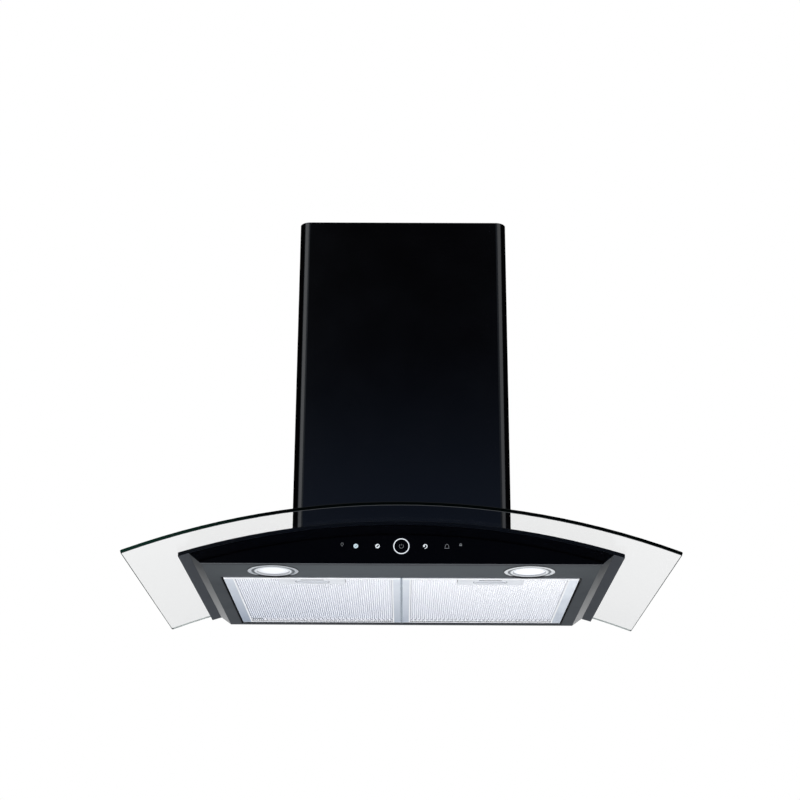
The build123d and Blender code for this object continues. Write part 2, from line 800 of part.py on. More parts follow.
    # bowed leaf spring between the carriage and the rear wall of its box
    with BuildPart() as latch_spring:
        with BuildSketch(Plane.XY.offset(bolt_bottom)):
            with BuildLine():
                rear_line = -latch_box_rear
                crown_line = -slider_rear
                outer_bow = ThreePointArc(
                    (middle - spring_span / 2, rear_line),
                    (middle, crown_line),
                    (middle + spring_span / 2, rear_line),
                )
                inner_bow = ThreePointArc(
                    (middle - spring_span / 2 + 2 * spring_sheet, rear_line),
                    (middle, crown_line + spring_sheet),
                    (middle + spring_span / 2 - 2 * spring_sheet, rear_line),
                )
                Line(outer_bow @ 0, inner_bow @ 0)
                Line(outer_bow @ 1, inner_bow @ 1)
            make_face()
        extrude(amount=slider_thickness)
    latch_spring.part.label = f"latch_spring_{name}"
    export_step(latch_spring.part, f"parts/latch_spring_{name}.step")

# ----------------------------------------------------------------- fan box

half_growth = scroll_growth / 2
scroll_front = box_depth - 2 * sheet - scroll_flange - scroll_play
scroll_r = (scroll_front - scroll_rear + scroll_growth) / 2
last_turn_r = scroll_r - 2 * scroll_growth
fan_depth = scroll_front - scroll_r - half_growth
fan_z = crown_top + scroll_foot_gap + sheet + scroll_r - half_growth
box_top = fan_z + scroll_r + outlet_run
scroll_top = box_top - sheet
upper_centre_y = -fan_depth + half_growth
tongue_y = upper_centre_y + last_turn_r * math.cos(math.radians(tongue_angle))
outlet_y = (tongue_y - scroll_front) / 2

with BuildPart() as blower_box:
    with BuildSketch(Plane.XZ):
        add(above_arc(box_half, flange_under_r, box_top))
    extrude(amount=box_depth)
    with BuildSketch(Plane.XZ.offset(box_flange_rear)):
        add(arc_band(flange_half, flange_under_r, flange_top_r))
    extrude(amount=box_depth + box_flange - box_flange_rear)
    with BuildSketch(Plane.XZ.offset(sheet)):
        add(above_arc(box_half - sheet, flange_under_r - box_gasket, box_top - sheet))
    extrude(amount=box_depth - 2 * sheet, mode=Mode.SUBTRACT)
    with BuildSketch(Plane.XY.offset(box_top - sheet)):
        with Locations((0, outlet_y)):
            Circle(collar_seat)
    extrude(amount=sheet, mode=Mode.SUBTRACT)
    with BuildSketch(Plane.XZ):
        with GridLocations(wall_screw_x, wall_screw_z, 2, 2):
            Circle(wall_screw_d / 2)
    extrude(amount=sheet, mode=Mode.SUBTRACT)
    for x, depth in clamp_places:
        with BuildSketch(glass_plane(x, depth, flange_top_r)):
            Circle(clamp_hole_r)
        extrude(amount=2 * sheet, both=True, mode=Mode.SUBTRACT)
blower_box.part.label = "blower_box"
export_step(blower_box.part, "parts/blower_box.step")

with BuildPart() as box_seal:
    with BuildSketch(Plane.XZ.offset(box_flange_rear)):
        add(arc_band(flange_half, glass_top_r + settle, flange_under_r - settle))
    extrude(amount=box_depth + box_flange - box_flange_rear)
    with BuildSketch(Plane.XY.offset(pan_z)):
        add(level_rectangle(air_width + 2 * glass_margin, air_rear - glass_margin,
                            air_front + glass_margin, air_corner_r + glass_margin))
    extrude(amount=2 * crown_height, mode=Mode.SUBTRACT)
    for x, depth in clamp_places:
        with BuildSketch(glass_plane(x, depth, flange_top_r)):
            Circle(clamp_hole_r)
        extrude(amount=2 * box_gasket + sheet, both=True, mode=Mode.SUBTRACT)
box_seal.part.label = "box_seal"
export_step(box_seal.part, "parts/box_seal.step")

# Clamp screws, rubber bushes in the glass and nuts under the plate
clamp_length = flange_top_r + settle - plate_top_r + sheet + nut_height + clamp_tip
with BuildPart() as clamp_screws:
    for x, depth in clamp_places:
        with BuildSketch(glass_plane(x, depth, flange_top_r + settle)):
            RegularPolygon(clamp_head_d / 2, 6)
        extrude(amount=clamp_head_height)
        with BuildSketch(glass_plane(x, depth, flange_top_r + settle)):
            Circle(clamp_d / 2)
        extrude(amount=-clamp_length)
clamp_screws.part.label = "clamp_screws"
export_step(clamp_screws.part, "parts/clamp_screws.step")

with BuildPart() as glass_bushes:
    for x, depth in clamp_places:
        with BuildSketch(glass_plane(x, depth, plate_top_r)):
            Circle(glass_hole_r)
            Circle(clamp_hole_r, mode=Mode.SUBTRACT)
        extrude(amount=tape + glass_thickness - settle)
glass_bushes.part.label = "glass_bushes"
export_step(glass_bushes.part, "parts/glass_bushes.step")

with BuildPart() as clamp_nuts:
    for x, depth in clamp_places:
        with BuildSketch(glass_plane(x, depth, plate_top_r - sheet - settle)):
            RegularPolygon(nut_d / 2, 6)
            Circle(clamp_d / 2, mode=Mode.SUBTRACT)
        extrude(amount=-nut_height)
clamp_nuts.part.label = "clamp_nuts"
export_step(clamp_nuts.part, "parts/clamp_nuts.step")

# --------------------------------------------------------------------- fan


def scroll_outline(grow):
    """Side view of the scroll: three quarter turns that open towards the outlet at the front."""
    front_y = -scroll_front - grow
    back_y = tongue_y + grow
    last_r = last_turn_r + grow
    last_turn = math.degrees(math.acos((back_y - upper_centre_y) / last_r))
    with BuildSketch() as outline:
        with BuildLine():
            front_wall = Line((front_y, scroll_top), (front_y, fan_z + half_growth))
            first = JernArc(front_wall @ 1, (0, -1), scroll_r + grow, 90)
            second = JernArc(first @ 1, (1, 0), scroll_r - scroll_growth + grow, 90)
            third = JernArc(second @ 1, (0, 1), last_r, last_turn)
            Polyline(third @ 1, (back_y, scroll_top), front_wall @ 0)
        make_face()
    return outline.sketch


scroll_half = scroll_width / 2
wheel_r = last_turn_r - wheel_gap
wheel_half = scroll_half - sheet - ring_lip - wheel_side_gap
blade_inner = wheel_r - blade_depth
inlet_r = blade_inner - inlet_step
fan_centre = (-fan_depth, fan_z)
with BuildPart() as fan_scroll:
    with BuildSketch(Plane.YZ.offset(-scroll_half)):
        add(scroll_outline(sheet))
    extrude(amount=scroll_width)
    with BuildSketch(Plane.XY.offset(scroll_top - sheet)):
        add(level_rectangle(scroll_width + 2 * scroll_flange, -tongue_y - sheet - scroll_flange,
                            scroll_front + sheet + scroll_flange))
    extrude(amount=sheet)
    with BuildSketch(Plane.YZ.offset(sheet - scroll_half)):
        add(scroll_outline(0))
    extrude(amount=scroll_width - 2 * sheet, mode=Mode.SUBTRACT)
    with BuildSketch(Plane.YZ):
        with Locations(fan_centre):
            Circle(inlet_r)
    extrude(amount=scroll_width, both=True, mode=Mode.SUBTRACT)
fan_scroll.part.label = "fan_scroll"
export_step(fan_scroll.part, "parts/fan_scroll.step")

# Rolled rings in the two inlets
fan_axis = Axis((0, -fan_depth, fan_z), (1, 0, 0))
fan_section = Plane(origin=(0, -fan_depth, fan_z), x_dir=(1, 0, 0), z_dir=(0, -1, 0))
ring_r = inlet_r - seat_gap
with BuildPart() as inlet_rings:
    for way in (-1, 1):
        with BuildSketch(fan_section):
            with BuildLine():
                outside = way * scroll_half
                inside = way * (scroll_half - sheet - ring_lip)
                Polyline(
                    (outside, inlet_r + inlet_rim),
                    (outside, ring_r),
                    (inside, ring_r),
                    (inside, ring_r - inlet_lip),
                    (outside + way * inlet_lip, ring_r - inlet_lip),
                    (outside + way * inlet_lip, inlet_r + inlet_rim),
                    close=True,
                )
            make_face()
        revolve(axis=fan_axis)
inlet_rings.part.label = "inlet_rings"
export_step(inlet_rings.part, "parts/inlet_rings.step")

# Drum wheel: blades between two rims, carried by a disc in the middle
blade_bend = (blade_inner + blade_depth * 0.5, blade_depth * 0.15)
blade_tip = (wheel_r, blade_depth * 0.6)
with BuildSketch() as blade:
    with BuildLine():
        Polyline(
            (blade_inner, 0),
            blade_bend,
            blade_tip,
            (blade_tip[0], blade_tip[1] - blade_thickness),
            (blade_bend[0], blade_bend[1] - blade_thickness),
            (blade_inner, -blade_thickness),
            close=True,
        )
    make_face()

with BuildPart() as fan_wheel:
    with BuildSketch(Plane.YZ.offset(-wheel_half)):
        with Locations(fan_centre):
            with PolarLocations(0, blade_count):
                add(blade.sketch)
    extrude(amount=2 * wheel_half)
    for start in (-wheel_half, wheel_half - rim_width):
        with BuildSketch(Plane.YZ.offset(start)):
            with Locations(fan_centre):
                Circle(wheel_r + 1)
                Circle(blade_inner + 1, mode=Mode.SUBTRACT)
        extrude(amount=rim_width)
    with BuildSketch(Plane.YZ.offset(-sheet / 2)):
        with Locations(fan_centre):
            Circle(blade_inner + 1)
    extrude(amount=sheet)
    with BuildSketch(Plane.YZ.offset(-hub_length / 2)):
        with Locations(fan_centre):
            Circle(hub_r)
    extrude(amount=hub_length)
    with BuildSketch(Plane.YZ.offset(-hub_length / 2)):
        with Locations(fan_centre):
            Circle(shaft_d / 2)
    extrude(amount=hub_length, mode=Mode.SUBTRACT)
fan_wheel.part.label = "fan_wheel"
export_step(fan_wheel.part, "parts/fan_wheel.step")

shaft_start = -hub_length / 2 - shaft_tail
arm_start = scroll_half + inlet_lip + arm_gap
motor_end = arm_start - motor_gap
motor_nose = hub_length / 2 + 1
shaft_end = (motor_start + motor_end) / 2
with BuildPart() as motor_shaft:
    with BuildSketch(Plane.YZ.offset(shaft_start)):
        with Locations(fan_centre):
            Circle(shaft_d / 2)
    extrude(amount=shaft_end - shaft_start - seat_gap)
motor_shaft.part.label = "motor_shaft"
export_step(motor_shaft.part, "parts/motor_shaft.step")

with BuildPart() as hub_nut:
    with BuildSketch(Plane.YZ.offset(-hub_length / 2)):
        with Locations(fan_centre):
            RegularPolygon(shaft_d, 6)
            Circle(shaft_d / 2, mode=Mode.SUBTRACT)
    extrude(amount=-hub_nut_length)
hub_nut.part.label = "hub_nut"
export_step(hub_nut.part, "parts/hub_nut.step")

# Motor inside the wheel, held by a three-armed bracket across the right inlet
foot_r = inlet_r + inlet_rim + foot_rim
with BuildPart() as fan_motor:
    with BuildSketch(fan_section):
        with BuildLine():
            Polyline(
                (motor_start, bearing_r),
                (motor_start, motor_r - motor_round),
                (motor_start + motor_round, motor_r),
                (motor_end - motor_round, motor_r),
                (motor_end, motor_r - motor_round),
                (motor_end, bearing_r),
                (arm_start, bearing_r),
                (arm_start, 0),
                (shaft_end, 0),
                (shaft_end, shaft_d / 2 + shaft_play),
                (motor_nose, shaft_d / 2 + shaft_play),
                (motor_nose, bearing_r),
                close=True,
            )
        make_face()
    revolve(axis=fan_axis)
fan_motor.part.label = "fan_motor"
export_step(fan_motor.part, "parts/fan_motor.step")

with BuildPart() as motor_bracket:
    with BuildSketch(Plane.YZ.offset(arm_start)):
        with Locations(fan_centre):
            Circle(bearing_r + boss_rim)
            with PolarLocations(foot_r / 2, 3, start_angle=90):
                Rectangle(foot_r, arm_width)
    extrude(amount=arm_thickness)
    with BuildSketch(Plane.YZ.offset(scroll_half)):
        with Locations(fan_centre):
            with PolarLocations(foot_r, 3, start_angle=90):
                Rectangle(arm_width, arm_width)
    extrude(amount=arm_start - scroll_half + arm_thickness)
motor_bracket.part.label = "motor_bracket"
export_step(motor_bracket.part, "parts/motor_bracket.step")

# Screws: three in the feet of the bracket, four through the flange of the scroll
with BuildPart() as fan_screws:
    with BuildSketch(Plane.YZ.offset(arm_start + arm_thickness)):
        with Locations(fan_centre):
            with PolarLocations(foot_r, 3, start_angle=90):
                RegularPolygon(fan_screw_head / 2, 6)
    extrude(amount=fan_screw_height)
    flange_screw_x = scroll_width + scroll_flange
    flange_screw_y = scroll_front + tongue_y + scroll_flange + 2 * sheet
    with BuildSketch(Plane.XY.offset(scroll_top - sheet)):
        with Locations((0, outlet_y)):
            with GridLocations(flange_screw_x, flange_screw_y, 2, 2):
                RegularPolygon(fan_screw_head / 2, 6)
    extrude(amount=-fan_screw_height)
fan_screws.part.label = "fan_screws"
export_step(fan_screws.part, "parts/fan_screws.step")

# ---------------------------------------------------- outlet collar, flaps

collar_r = duct_d / 2
collar_bore = collar_r - collar_wall
collar_foot = collar_r + collar_rim
foot_top = box_top + collar_wall
knuckle_r = pin_d / 2 + knuckle_wall
pin_z = foot_top + flap_rest + knuckle_r
flap_r = collar_bore - flap_play
with BuildPart() as outlet_collar:
    with BuildSketch(Plane.XY.offset(box_top)):
        with Locations((0, outlet_y)):
            Circle(collar_foot)
            Circle(collar_seat, mode=Mode.SUBTRACT)
    extrude(amount=collar_wall)
    with BuildSketch(Plane.XY.offset(box_top)):
        with Locations((0, outlet_y)):
            Circle(collar_r)
            Circle(collar_bore, mode=Mode.SUBTRACT)
    extrude(amount=collar_height)
    with BuildSketch(Plane.YZ):
        with Locations((outlet_y - pin_offset, pin_z), (outlet_y + pin_offset, pin_z)):
            Circle(pin_d / 2)
    extrude(amount=collar_r + 1, both=True, mode=Mode.SUBTRACT)
outlet_collar.part.label = "outlet_collar"
export_step(outlet_collar.part, "parts/outlet_collar.step")

pin_length = 2 * math.sqrt(collar_r**2 - pin_offset**2)
with BuildPart() as flap_pins:
    with BuildSketch(Plane.YZ.offset(-pin_length / 2)):
        with Locations((outlet_y - pin_offset, pin_z), (outlet_y + pin_offset, pin_z)):
            Circle(pin_d / 2)
    extrude(amount=pin_length)
flap_pins.part.label = "flap_pins"
export_step(flap_pins.part, "parts/flap_pins.step")

flap_bottom = foot_top + flap_rest
knuckle_bore = pin_d / 2 + pin_play
for side, name in ((-1, "front"), (1, "rear")):
    hinge_y = outlet_y + side * pin_offset
    with BuildPart() as damper_flap:
        with BuildSketch(Plane.XY.offset(flap_bottom)):
            with Locations((0, outlet_y)):
                Circle(flap_r)
            with Locations((0, hinge_y - side * flap_r)):
                Rectangle(2 * flap_r, 2 * flap_r, mode=Mode.SUBTRACT)
        extrude(amount=flap_thickness)
        for way in (-1, 1):
            knuckle_middle = way * (flap_r - 1.5 * knuckle_length)
            with BuildSketch(Plane.YZ.offset(knuckle_middle - knuckle_length / 2)):
                with Locations((hinge_y, pin_z)):
                    Circle(knuckle_r)
            extrude(amount=knuckle_length)
        with BuildSketch(Plane.YZ.offset(-flap_r)):
            with Locations((hinge_y, pin_z)):
                Circle(knuckle_bore)
        extrude(amount=2 * flap_r, mode=Mode.SUBTRACT)
    damper_flap.part.label = f"damper_flap_{name}"
    export_step(damper_flap.part, f"parts/damper_flap_{name}.step")

# -------------------------------------------------------------- supply box

supply_depth = -outlet_y - collar_foot - supply_gap - supply_rear
supply_y = -(supply_rear + supply_depth / 2)
gland_x = supply_width / 2 - supply_wall - terminal_gap - terminal_width / 2
with BuildPart() as supply_box:
    with BuildSketch(Plane.XY.offset(box_top)):
        with Locations((0, supply_y)):
            RectangleRounded(supply_width, supply_depth, 2 * supply_wall)
    extrude(amount=supply_height)
    with BuildSketch(Plane.XY.offset(box_top + supply_wall)):
        with Locations((0, supply_y)):
            Rectangle(supply_width - 2 * supply_wall, supply_depth - 2 * supply_wall)
    extrude(amount=supply_height, mode=Mode.SUBTRACT)
supply_box.part.label = "supply_box"
export_step(supply_box.part, "parts/supply_box.step")

supply_top = box_top + supply_height
with BuildPart() as supply_lid:
    with BuildSketch(Plane.XY.offset(supply_top)):
        with Locations((0, supply_y)):
            RectangleRounded(supply_width, supply_depth, 2 * supply_wall)
        with Locations((gland_x, supply_y)):
            Circle(gland_thread, mode=Mode.SUBTRACT)
    extrude(amount=supply_wall)
supply_lid.part.label = "supply_lid"
export_step(supply_lid.part, "parts/supply_lid.step")

with BuildPart() as cable_gland:
    with BuildSketch(Plane.XY.offset(supply_top)):
        with Locations((gland_x, supply_y)):
            Circle(gland_thread)
    extrude(amount=supply_wall)
    with BuildSketch(Plane.XY.offset(supply_top + supply_wall)):
        with Locations((gland_x, supply_y)):
            RegularPolygon(gland_d / 2, 6)
    extrude(amount=gland_height)
    with BuildSketch(Plane.XY.offset(supply_top)):
        with Locations((gland_x, supply_y)):
            Circle(gland_bore / 2)
    extrude(amount=supply_wall + gland_height, mode=Mode.SUBTRACT)
cable_gland.part.label = "cable_gland"
export_step(cable_gland.part, "parts/cable_gland.step")

with BuildPart() as run_capacitor:
    with BuildSketch(Plane.YZ.offset(-supply_width / 2 + supply_wall)):
        with Locations((supply_y, box_top + supply_wall + capacitor_d / 2)):
            Circle(capacitor_d / 2)
    extrude(amount=capacitor_length)
run_capacitor.part.label = "run_capacitor"
export_step(run_capacitor.part, "parts/run_capacitor.step")

with BuildPart() as terminal_block:
    with BuildSketch(Plane.XY.offset(box_top + supply_wall)):
        with Locations((gland_x, supply_y)):
            Rectangle(terminal_width, terminal_width * 0.8)
    extrude(amount=terminal_height)
    with BuildSketch(Plane.XY.offset(box_top + supply_wall + terminal_height)):
        with Locations((gland_x, supply_y)):
            with GridLocations(terminal_width / 4, 0, 4, 1):
                Rectangle(terminal_width / 6, terminal_width * 0.4)
    extrude(amount=terminal_tower)
terminal_block.part.label = "terminal_block"
export_step(terminal_block.part, "parts/terminal_block.step")

# ----------------------------------------------------------------- chimney


def cover_section(half_width, front, rear, corner_r):
    """Section of a cover seen from above: front and sides, with lips along the open rear."""
    inner_half = half_width - cover_sheet
    with BuildSketch() as section:
        with BuildLine():
            Polyline(
                (-half_width, -rear), (-half_width, -front), (half_width, -front),
                (half_width, -rear), close=True,
            )
        make_face()
        fillet(section.vertices().group_by(Axis.Y)[0], corner_r)
        with BuildSketch(mode=Mode.PRIVATE) as inside:
            with BuildLine():
                Polyline(
                    (-inner_half, -rear - cover_sheet), (-inner_half, -front + cover_sheet),
                    (inner_half, -front + cover_sheet), (inner_half, -rear - cover_sheet),
                    close=True,
                )
            make_face()
            fillet(inside.vertices().group_by(Axis.Y)[0], corner_r - cover_sheet)
        add(inside.sketch, mode=Mode.SUBTRACT)
        with Locations((0, -rear - cover_sheet / 2)):
            Rectangle(2 * (inner_half - cover_lip), 2 * cover_sheet, mode=Mode.SUBTRACT)
    return section.sketch


chimney_top = crown_top + chimney_rise
bracket_reach = chimney_half - cover_sheet
bracket_top = arc_z(bracket_reach, flange_top_r) + bracket_leg
bracket_middle = bracket_top - bracket_leg / 2

with BuildPart() as lower_chimney:
    with BuildSketch(Plane.XY.offset(pan_z)):
        add(cover_section(chimney_half, chimney_depth, wall_gap, chimney_corner_r))
    extrude(amount=chimney_top - pan_z)
    with BuildSketch(Plane.XZ):
        add(arc_band(chimney_width, glass_top_r - 2 * crown_height, glass_top_r))
    extrude(amount=glass_depth, mode=Mode.SUBTRACT)
    with BuildSketch(Plane.XY.offset(pan_z)):
        Rectangle(2 * glass_width, 2 * glass_depth)
    extrude(amount=crown_height / 2, mode=Mode.SUBTRACT)
    with BuildSketch(Plane.YZ):
        with Locations((-bracket_depth, bracket_middle)):
            Circle(side_screw_d / 2)
    extrude(amount=chimney_width, both=True, mode=Mode.SUBTRACT)
lower_chimney.part.label = "lower_chimney"
export_step(lower_chimney.part, "parts/lower_chimney.step")

# Brackets on the flange of the fan box: they hold the lower cover and carry the upper one
with BuildPart() as cover_brackets:
    with BuildSketch(Plane.XZ.offset(bracket_depth - bracket_width / 2)):
        add(arc_band(bracket_reach, flange_top_r, flange_top_r + bracket_sheet))
        with Locations((0, crown_top)):
            Rectangle(2 * (flange_half - box_flange / 2), 4 * crown_height, mode=Mode.SUBTRACT)
        for way in (-1, 1):
            with Locations((way * (bracket_reach - bracket_sheet / 2), bracket_middle)):
                Rectangle(bracket_sheet, bracket_leg)
    extrude(amount=bracket_width)
    with BuildSketch(Plane.YZ):
        with Locations((-bracket_depth, bracket_middle)):
            Circle(side_screw_d / 2)
    extrude(amount=chimney_width, both=True, mode=Mode.SUBTRACT)
cover_brackets.part.label = "cover_brackets"
export_step(cover_brackets.part, "parts/cover_brackets.step")

with BuildPart() as cover_screws:
    for way in (-1, 1):
        with BuildSketch(Plane.YZ.offset(way * chimney_half)):
            with Locations((-bracket_depth, bracket_middle)):
                Circle(side_screw_head / 2)
        extrude(amount=way * side_screw_height)
        with BuildSketch(Plane.YZ.offset(way * chimney_half)):
            with Locations((-bracket_depth, bracket_middle)):
                Circle(side_screw_d / 2)
        extrude(amount=-way * (cover_sheet + bracket_sheet + side_screw_tip))
cover_screws.part.label = "cover_screws"
export_step(cover_screws.part, "parts/cover_screws.step")

upper_bottom = bracket_top + seat_gap
upper_top = chimney_top - upper_drop
upper_rear = wall_gap + cover_step
with BuildPart() as upper_chimney:
    with BuildSketch(Plane.XY.offset(upper_bottom)):
        add(cover_section(upper_half, chimney_depth - cover_step, upper_rear,
                          chimney_corner_r - cover_step))
    extrude(amount=upper_top - upper_bottom)
upper_chimney.part.label = "upper_chimney"
export_step(upper_chimney.part, "parts/upper_chimney.step")

# Bracket across the top of the upper cover, with two dished feet that meet the wall
bracket_front = upper_rear + cover_sheet
top_bracket_z = upper_top - top_bracket_drop - top_bracket_height / 2
leg_outside = upper_half - cover_sheet
with BuildPart() as top_bracket:
    with BuildSketch(Plane.XY.offset(top_bracket_z - top_bracket_height / 2)):
        add(level_rectangle(2 * leg_outside, bracket_front, bracket_front + top_bracket_leg))
        add(level_rectangle(2 * (leg_outside - top_bracket_sheet), bracket_front + top_bracket_sheet,
                            bracket_front + top_bracket_leg), mode=Mode.SUBTRACT)
    extrude(amount=top_bracket_height)
    with BuildSketch(Plane.XZ):
        with Locations((0, top_bracket_z)):
            with GridLocations(top_screw_x, 0, 2, 1):
                Circle(top_foot_d / 2)
    extrude(amount=bracket_front + top_bracket_sheet)
    with BuildSketch(Plane.XZ.offset(top_bracket_sheet)):
        with Locations((0, top_bracket_z)):
            with GridLocations(top_screw_x, 0, 2, 1):
                Circle(top_foot_d / 2 - top_bracket_sheet)
    extrude(amount=bracket_front, mode=Mode.SUBTRACT)
    with BuildSketch(Plane.XZ):
        with Locations((0, top_bracket_z)):
            with GridLocations(top_screw_x, 0, 2, 1):
                Circle(top_screw_d / 2)
    extrude(amount=2 * bracket_front, mode=Mode.SUBTRACT)
top_bracket.part.label = "top_bracket"
export_step(top_bracket.part, "parts/top_bracket.step")
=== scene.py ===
import math

import bmesh
import bpy
from mathutils import Matrix, Vector


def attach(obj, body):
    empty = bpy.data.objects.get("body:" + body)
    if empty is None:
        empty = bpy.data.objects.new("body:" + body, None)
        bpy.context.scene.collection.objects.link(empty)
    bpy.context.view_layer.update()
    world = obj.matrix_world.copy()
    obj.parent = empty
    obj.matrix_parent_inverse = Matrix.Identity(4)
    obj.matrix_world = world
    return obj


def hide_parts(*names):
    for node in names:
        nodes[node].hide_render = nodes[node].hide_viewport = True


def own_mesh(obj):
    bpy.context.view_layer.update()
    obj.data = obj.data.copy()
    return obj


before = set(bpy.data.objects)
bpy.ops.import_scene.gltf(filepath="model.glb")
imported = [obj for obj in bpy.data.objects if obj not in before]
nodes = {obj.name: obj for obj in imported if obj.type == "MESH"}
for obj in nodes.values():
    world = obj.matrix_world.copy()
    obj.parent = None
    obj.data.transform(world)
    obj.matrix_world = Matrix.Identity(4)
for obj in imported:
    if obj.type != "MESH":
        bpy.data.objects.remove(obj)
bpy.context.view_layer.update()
MM = 0.001

# ------------------------------------------------------------------ places on the hood, in millimetres

SIDES = ((-1, "left"), (1, "right"))
BODY_FRONT = -422.0
ARC_CENTRE_Z = -1191.02        # axis about which the canopy is bent
ICON_Z = -174.0
LAMP_X = 179.5
LAMP_Y = -383.0
FILTER_X = 127.65
FILTER_WIDTH = 252.3
FILTER_REAR = -34.5
FRAME_BOTTOM = -201.2
LATCH_Y = -322.7
WINDOW_R = 9.0                 # round ends of the latch's finger window
WINDOW_END_X = 14.5            # from its middle to the centre of an end
RIDGE_WIDTH = 249.7 / 78
GROOVE_X = 2.8 + RIDGE_WIDTH / 2
DRAIN_PITCH = 6.4
RIB_PITCH = 2.4                # rings of the lens
MARK_DEPTH = 0.06

# Bands of the patterns and of painted highlights and shade: where each starts, is full, fades and ends
OUTER_LINE = (238.0, 238.3, 240.1, 240.7)
INNER_LINE = (11.5, 12.0, 13.6, 14.0)
DRAIN_ROW = (-61.2, -60.6, -53.5, -52.9)
DRAIN_SLOT = (-237.2, -236.4, -221.3, -220.5)
WINDOW_LINE = (-0.4, 0.0, 0.9, 1.3)
RING_GROOVE = (26.2, 27.2, 30.0, 30.8)

# Edges of the patterns and of painted light and shade: where each starts and is full
BODY_REAR = (-370, -300)
BODY_SIDES = (140, 270)
BODY_FRONT_BAND = (-415, -416.5)
HIGHLIGHT_EDGE_Z = (-198.6, -198.9)
OPENING_SIDE = (258.2, 257.6)
OPENING_FRONT = (-343, -342)
OPENING_REAR = (-26, -27)
FRONT_FLANGE = (-337.2, -337.7)
REAR_FLANGE = (-45.2, -44.7)
REAR_SHADE = (-44.2, -43.6)
MESH_HEM = (-50.2, -49.6)
MESH_GROOVE_Z = (FRAME_BOTTOM + 1.6, FRAME_BOTTOM + 2.6)
BOLT_TONGUE = (-342.8, -343.4)
DIVIDER_GROOVE = (0.45, 0.3)
DIVIDER_REAR = (-42.5, -41)
RING_LIP = (25.4, 24.8)
RING_INSIDE = (23.6, 23.3)
RING_CRESCENT = (35.5, 36.5)
RING_OUTSIDE = (35.5, 35.9)
LENS_RIM = (13, 22)
POWER_GLOW = (11.15, 10.95)

# ------------------------------------------------------------------ camera

CAMERA_LENS = 70.70
CAMERA_PLACE = (0.00388, -2.53318, -0.72461)
YAW, PITCH, ROLL = -0.0032, 0.3479, 0.0048


def look_from_below():
    """The photograph's view: low in front of the hood, looking up at it."""
    camera = bpy.data.objects.new("camera", bpy.data.cameras.new("camera"))
    bpy.context.scene.collection.objects.link(camera)
    camera.data.sensor_width = 36.0
    camera.data.lens = CAMERA_LENS
    camera.data.clip_start = 0.05
    camera.data.clip_end = 60.0
    ahead = Vector((math.sin(YAW) * math.cos(PITCH), math.cos(YAW) * math.cos(PITCH), math.sin(PITCH)))
    level = Vector((math.cos(YAW), -math.sin(YAW), 0.0))
    upright = level.cross(ahead)
    right = level * math.cos(ROLL) + upright * math.sin(ROLL)
    up = -level * math.sin(ROLL) + upright * math.cos(ROLL)
    turn = Matrix((right, up, -ahead)).transposed().to_4x4()
    camera.matrix_world = Matrix.Translation(CAMERA_PLACE) @ turn
    bpy.context.scene.camera = camera


# ------------------------------------------------------------------ nodes


class Nodes:
    """One node tree. A value is a number, a colour or the socket that it comes from."""

    def __init__(self, tree):
        self.tree = tree

    def new(self, kind):
        return self.tree.nodes.new("ShaderNode" + kind)

    def fill(self, socket, value):
        if isinstance(value, (int, float)):
            socket.default_value = value
        elif isinstance(value, tuple):
            socket.default_value = (*value, 1.0)
        else:
            self.tree.links.new(value, socket)

    def maths(self, operation, first, second=0.0):
        node = self.new("Math")
        node.operation = operation
        self.fill(node.inputs[0], first)
        self.fill(node.inputs[1], second)
        return node.outputs[0]

    def times(self, first, *others):
        for other in others:
            first = self.maths("MULTIPLY", first, other)
        return first

    def length(self, first, second):
        squares = self.maths("ADD", self.maths("POWER", first, 2.0), self.maths("POWER", second, 2.0))
        return self.maths("POWER", squares, 0.5)

    def ranged(self, value, low, high, out_low=0.0, out_high=1.0, smooth=False):
        """Share that goes from out_low to out_high while the value goes from low to high."""
        node = self.new("MapRange")
        if smooth:
            node.interpolation_type = "SMOOTHSTEP"
        self.fill(node.inputs["Value"], value)
        limits = {"From Min": low, "From Max": high, "To Min": out_low, "To Max": out_high}
        for key, number in limits.items():
            node.inputs[key].default_value = number
        return node.outputs["Result"]

    def edge(self, value, low, high, out_low=0.0, out_high=1.0):
        """The same for a place, with low and high in millimetres."""
        return self.ranged(value, low * MM, high * MM, out_low, out_high)

    def band(self, value, start, full, fade, end):
        """Share that is whole between two places in millimetres, and nothing outside them."""
        return self.times(self.edge(value, start, full), self.edge(value, end, fade))

    def blend(self, share, first, second):
        """Colour between two."""
        mix = self.new("Mix")
        mix.data_type = "RGBA"
        self.fill(mix.inputs["Factor"], share)
        self.fill(mix.inputs[6], first)
        self.fill(mix.inputs[7], second)
        return mix.outputs[2]


# ------------------------------------------------------------------ light

WHITE = (1.0, 1.0, 1.0)
SOFT_GREY = (0.42, 0.43, 0.45)          # light from all round
DARK_ROOM = (0.004, 0.004, 0.005)
LOW_FRONT = (0.29, 0.42, 0.74)
LEFT_PANEL = (0.70, 0.81, 0.95)
RIGHT_PANEL = (0.44, 0.52, 0.64)
LOW_SIDES = (0.30, 0.31, 0.33)
LOW_BEHIND = (0.26, 0.27, 0.29)
CEILING = (0.7, 0.71, 0.73)
GROUND = (0.6, 0.61, 0.63)


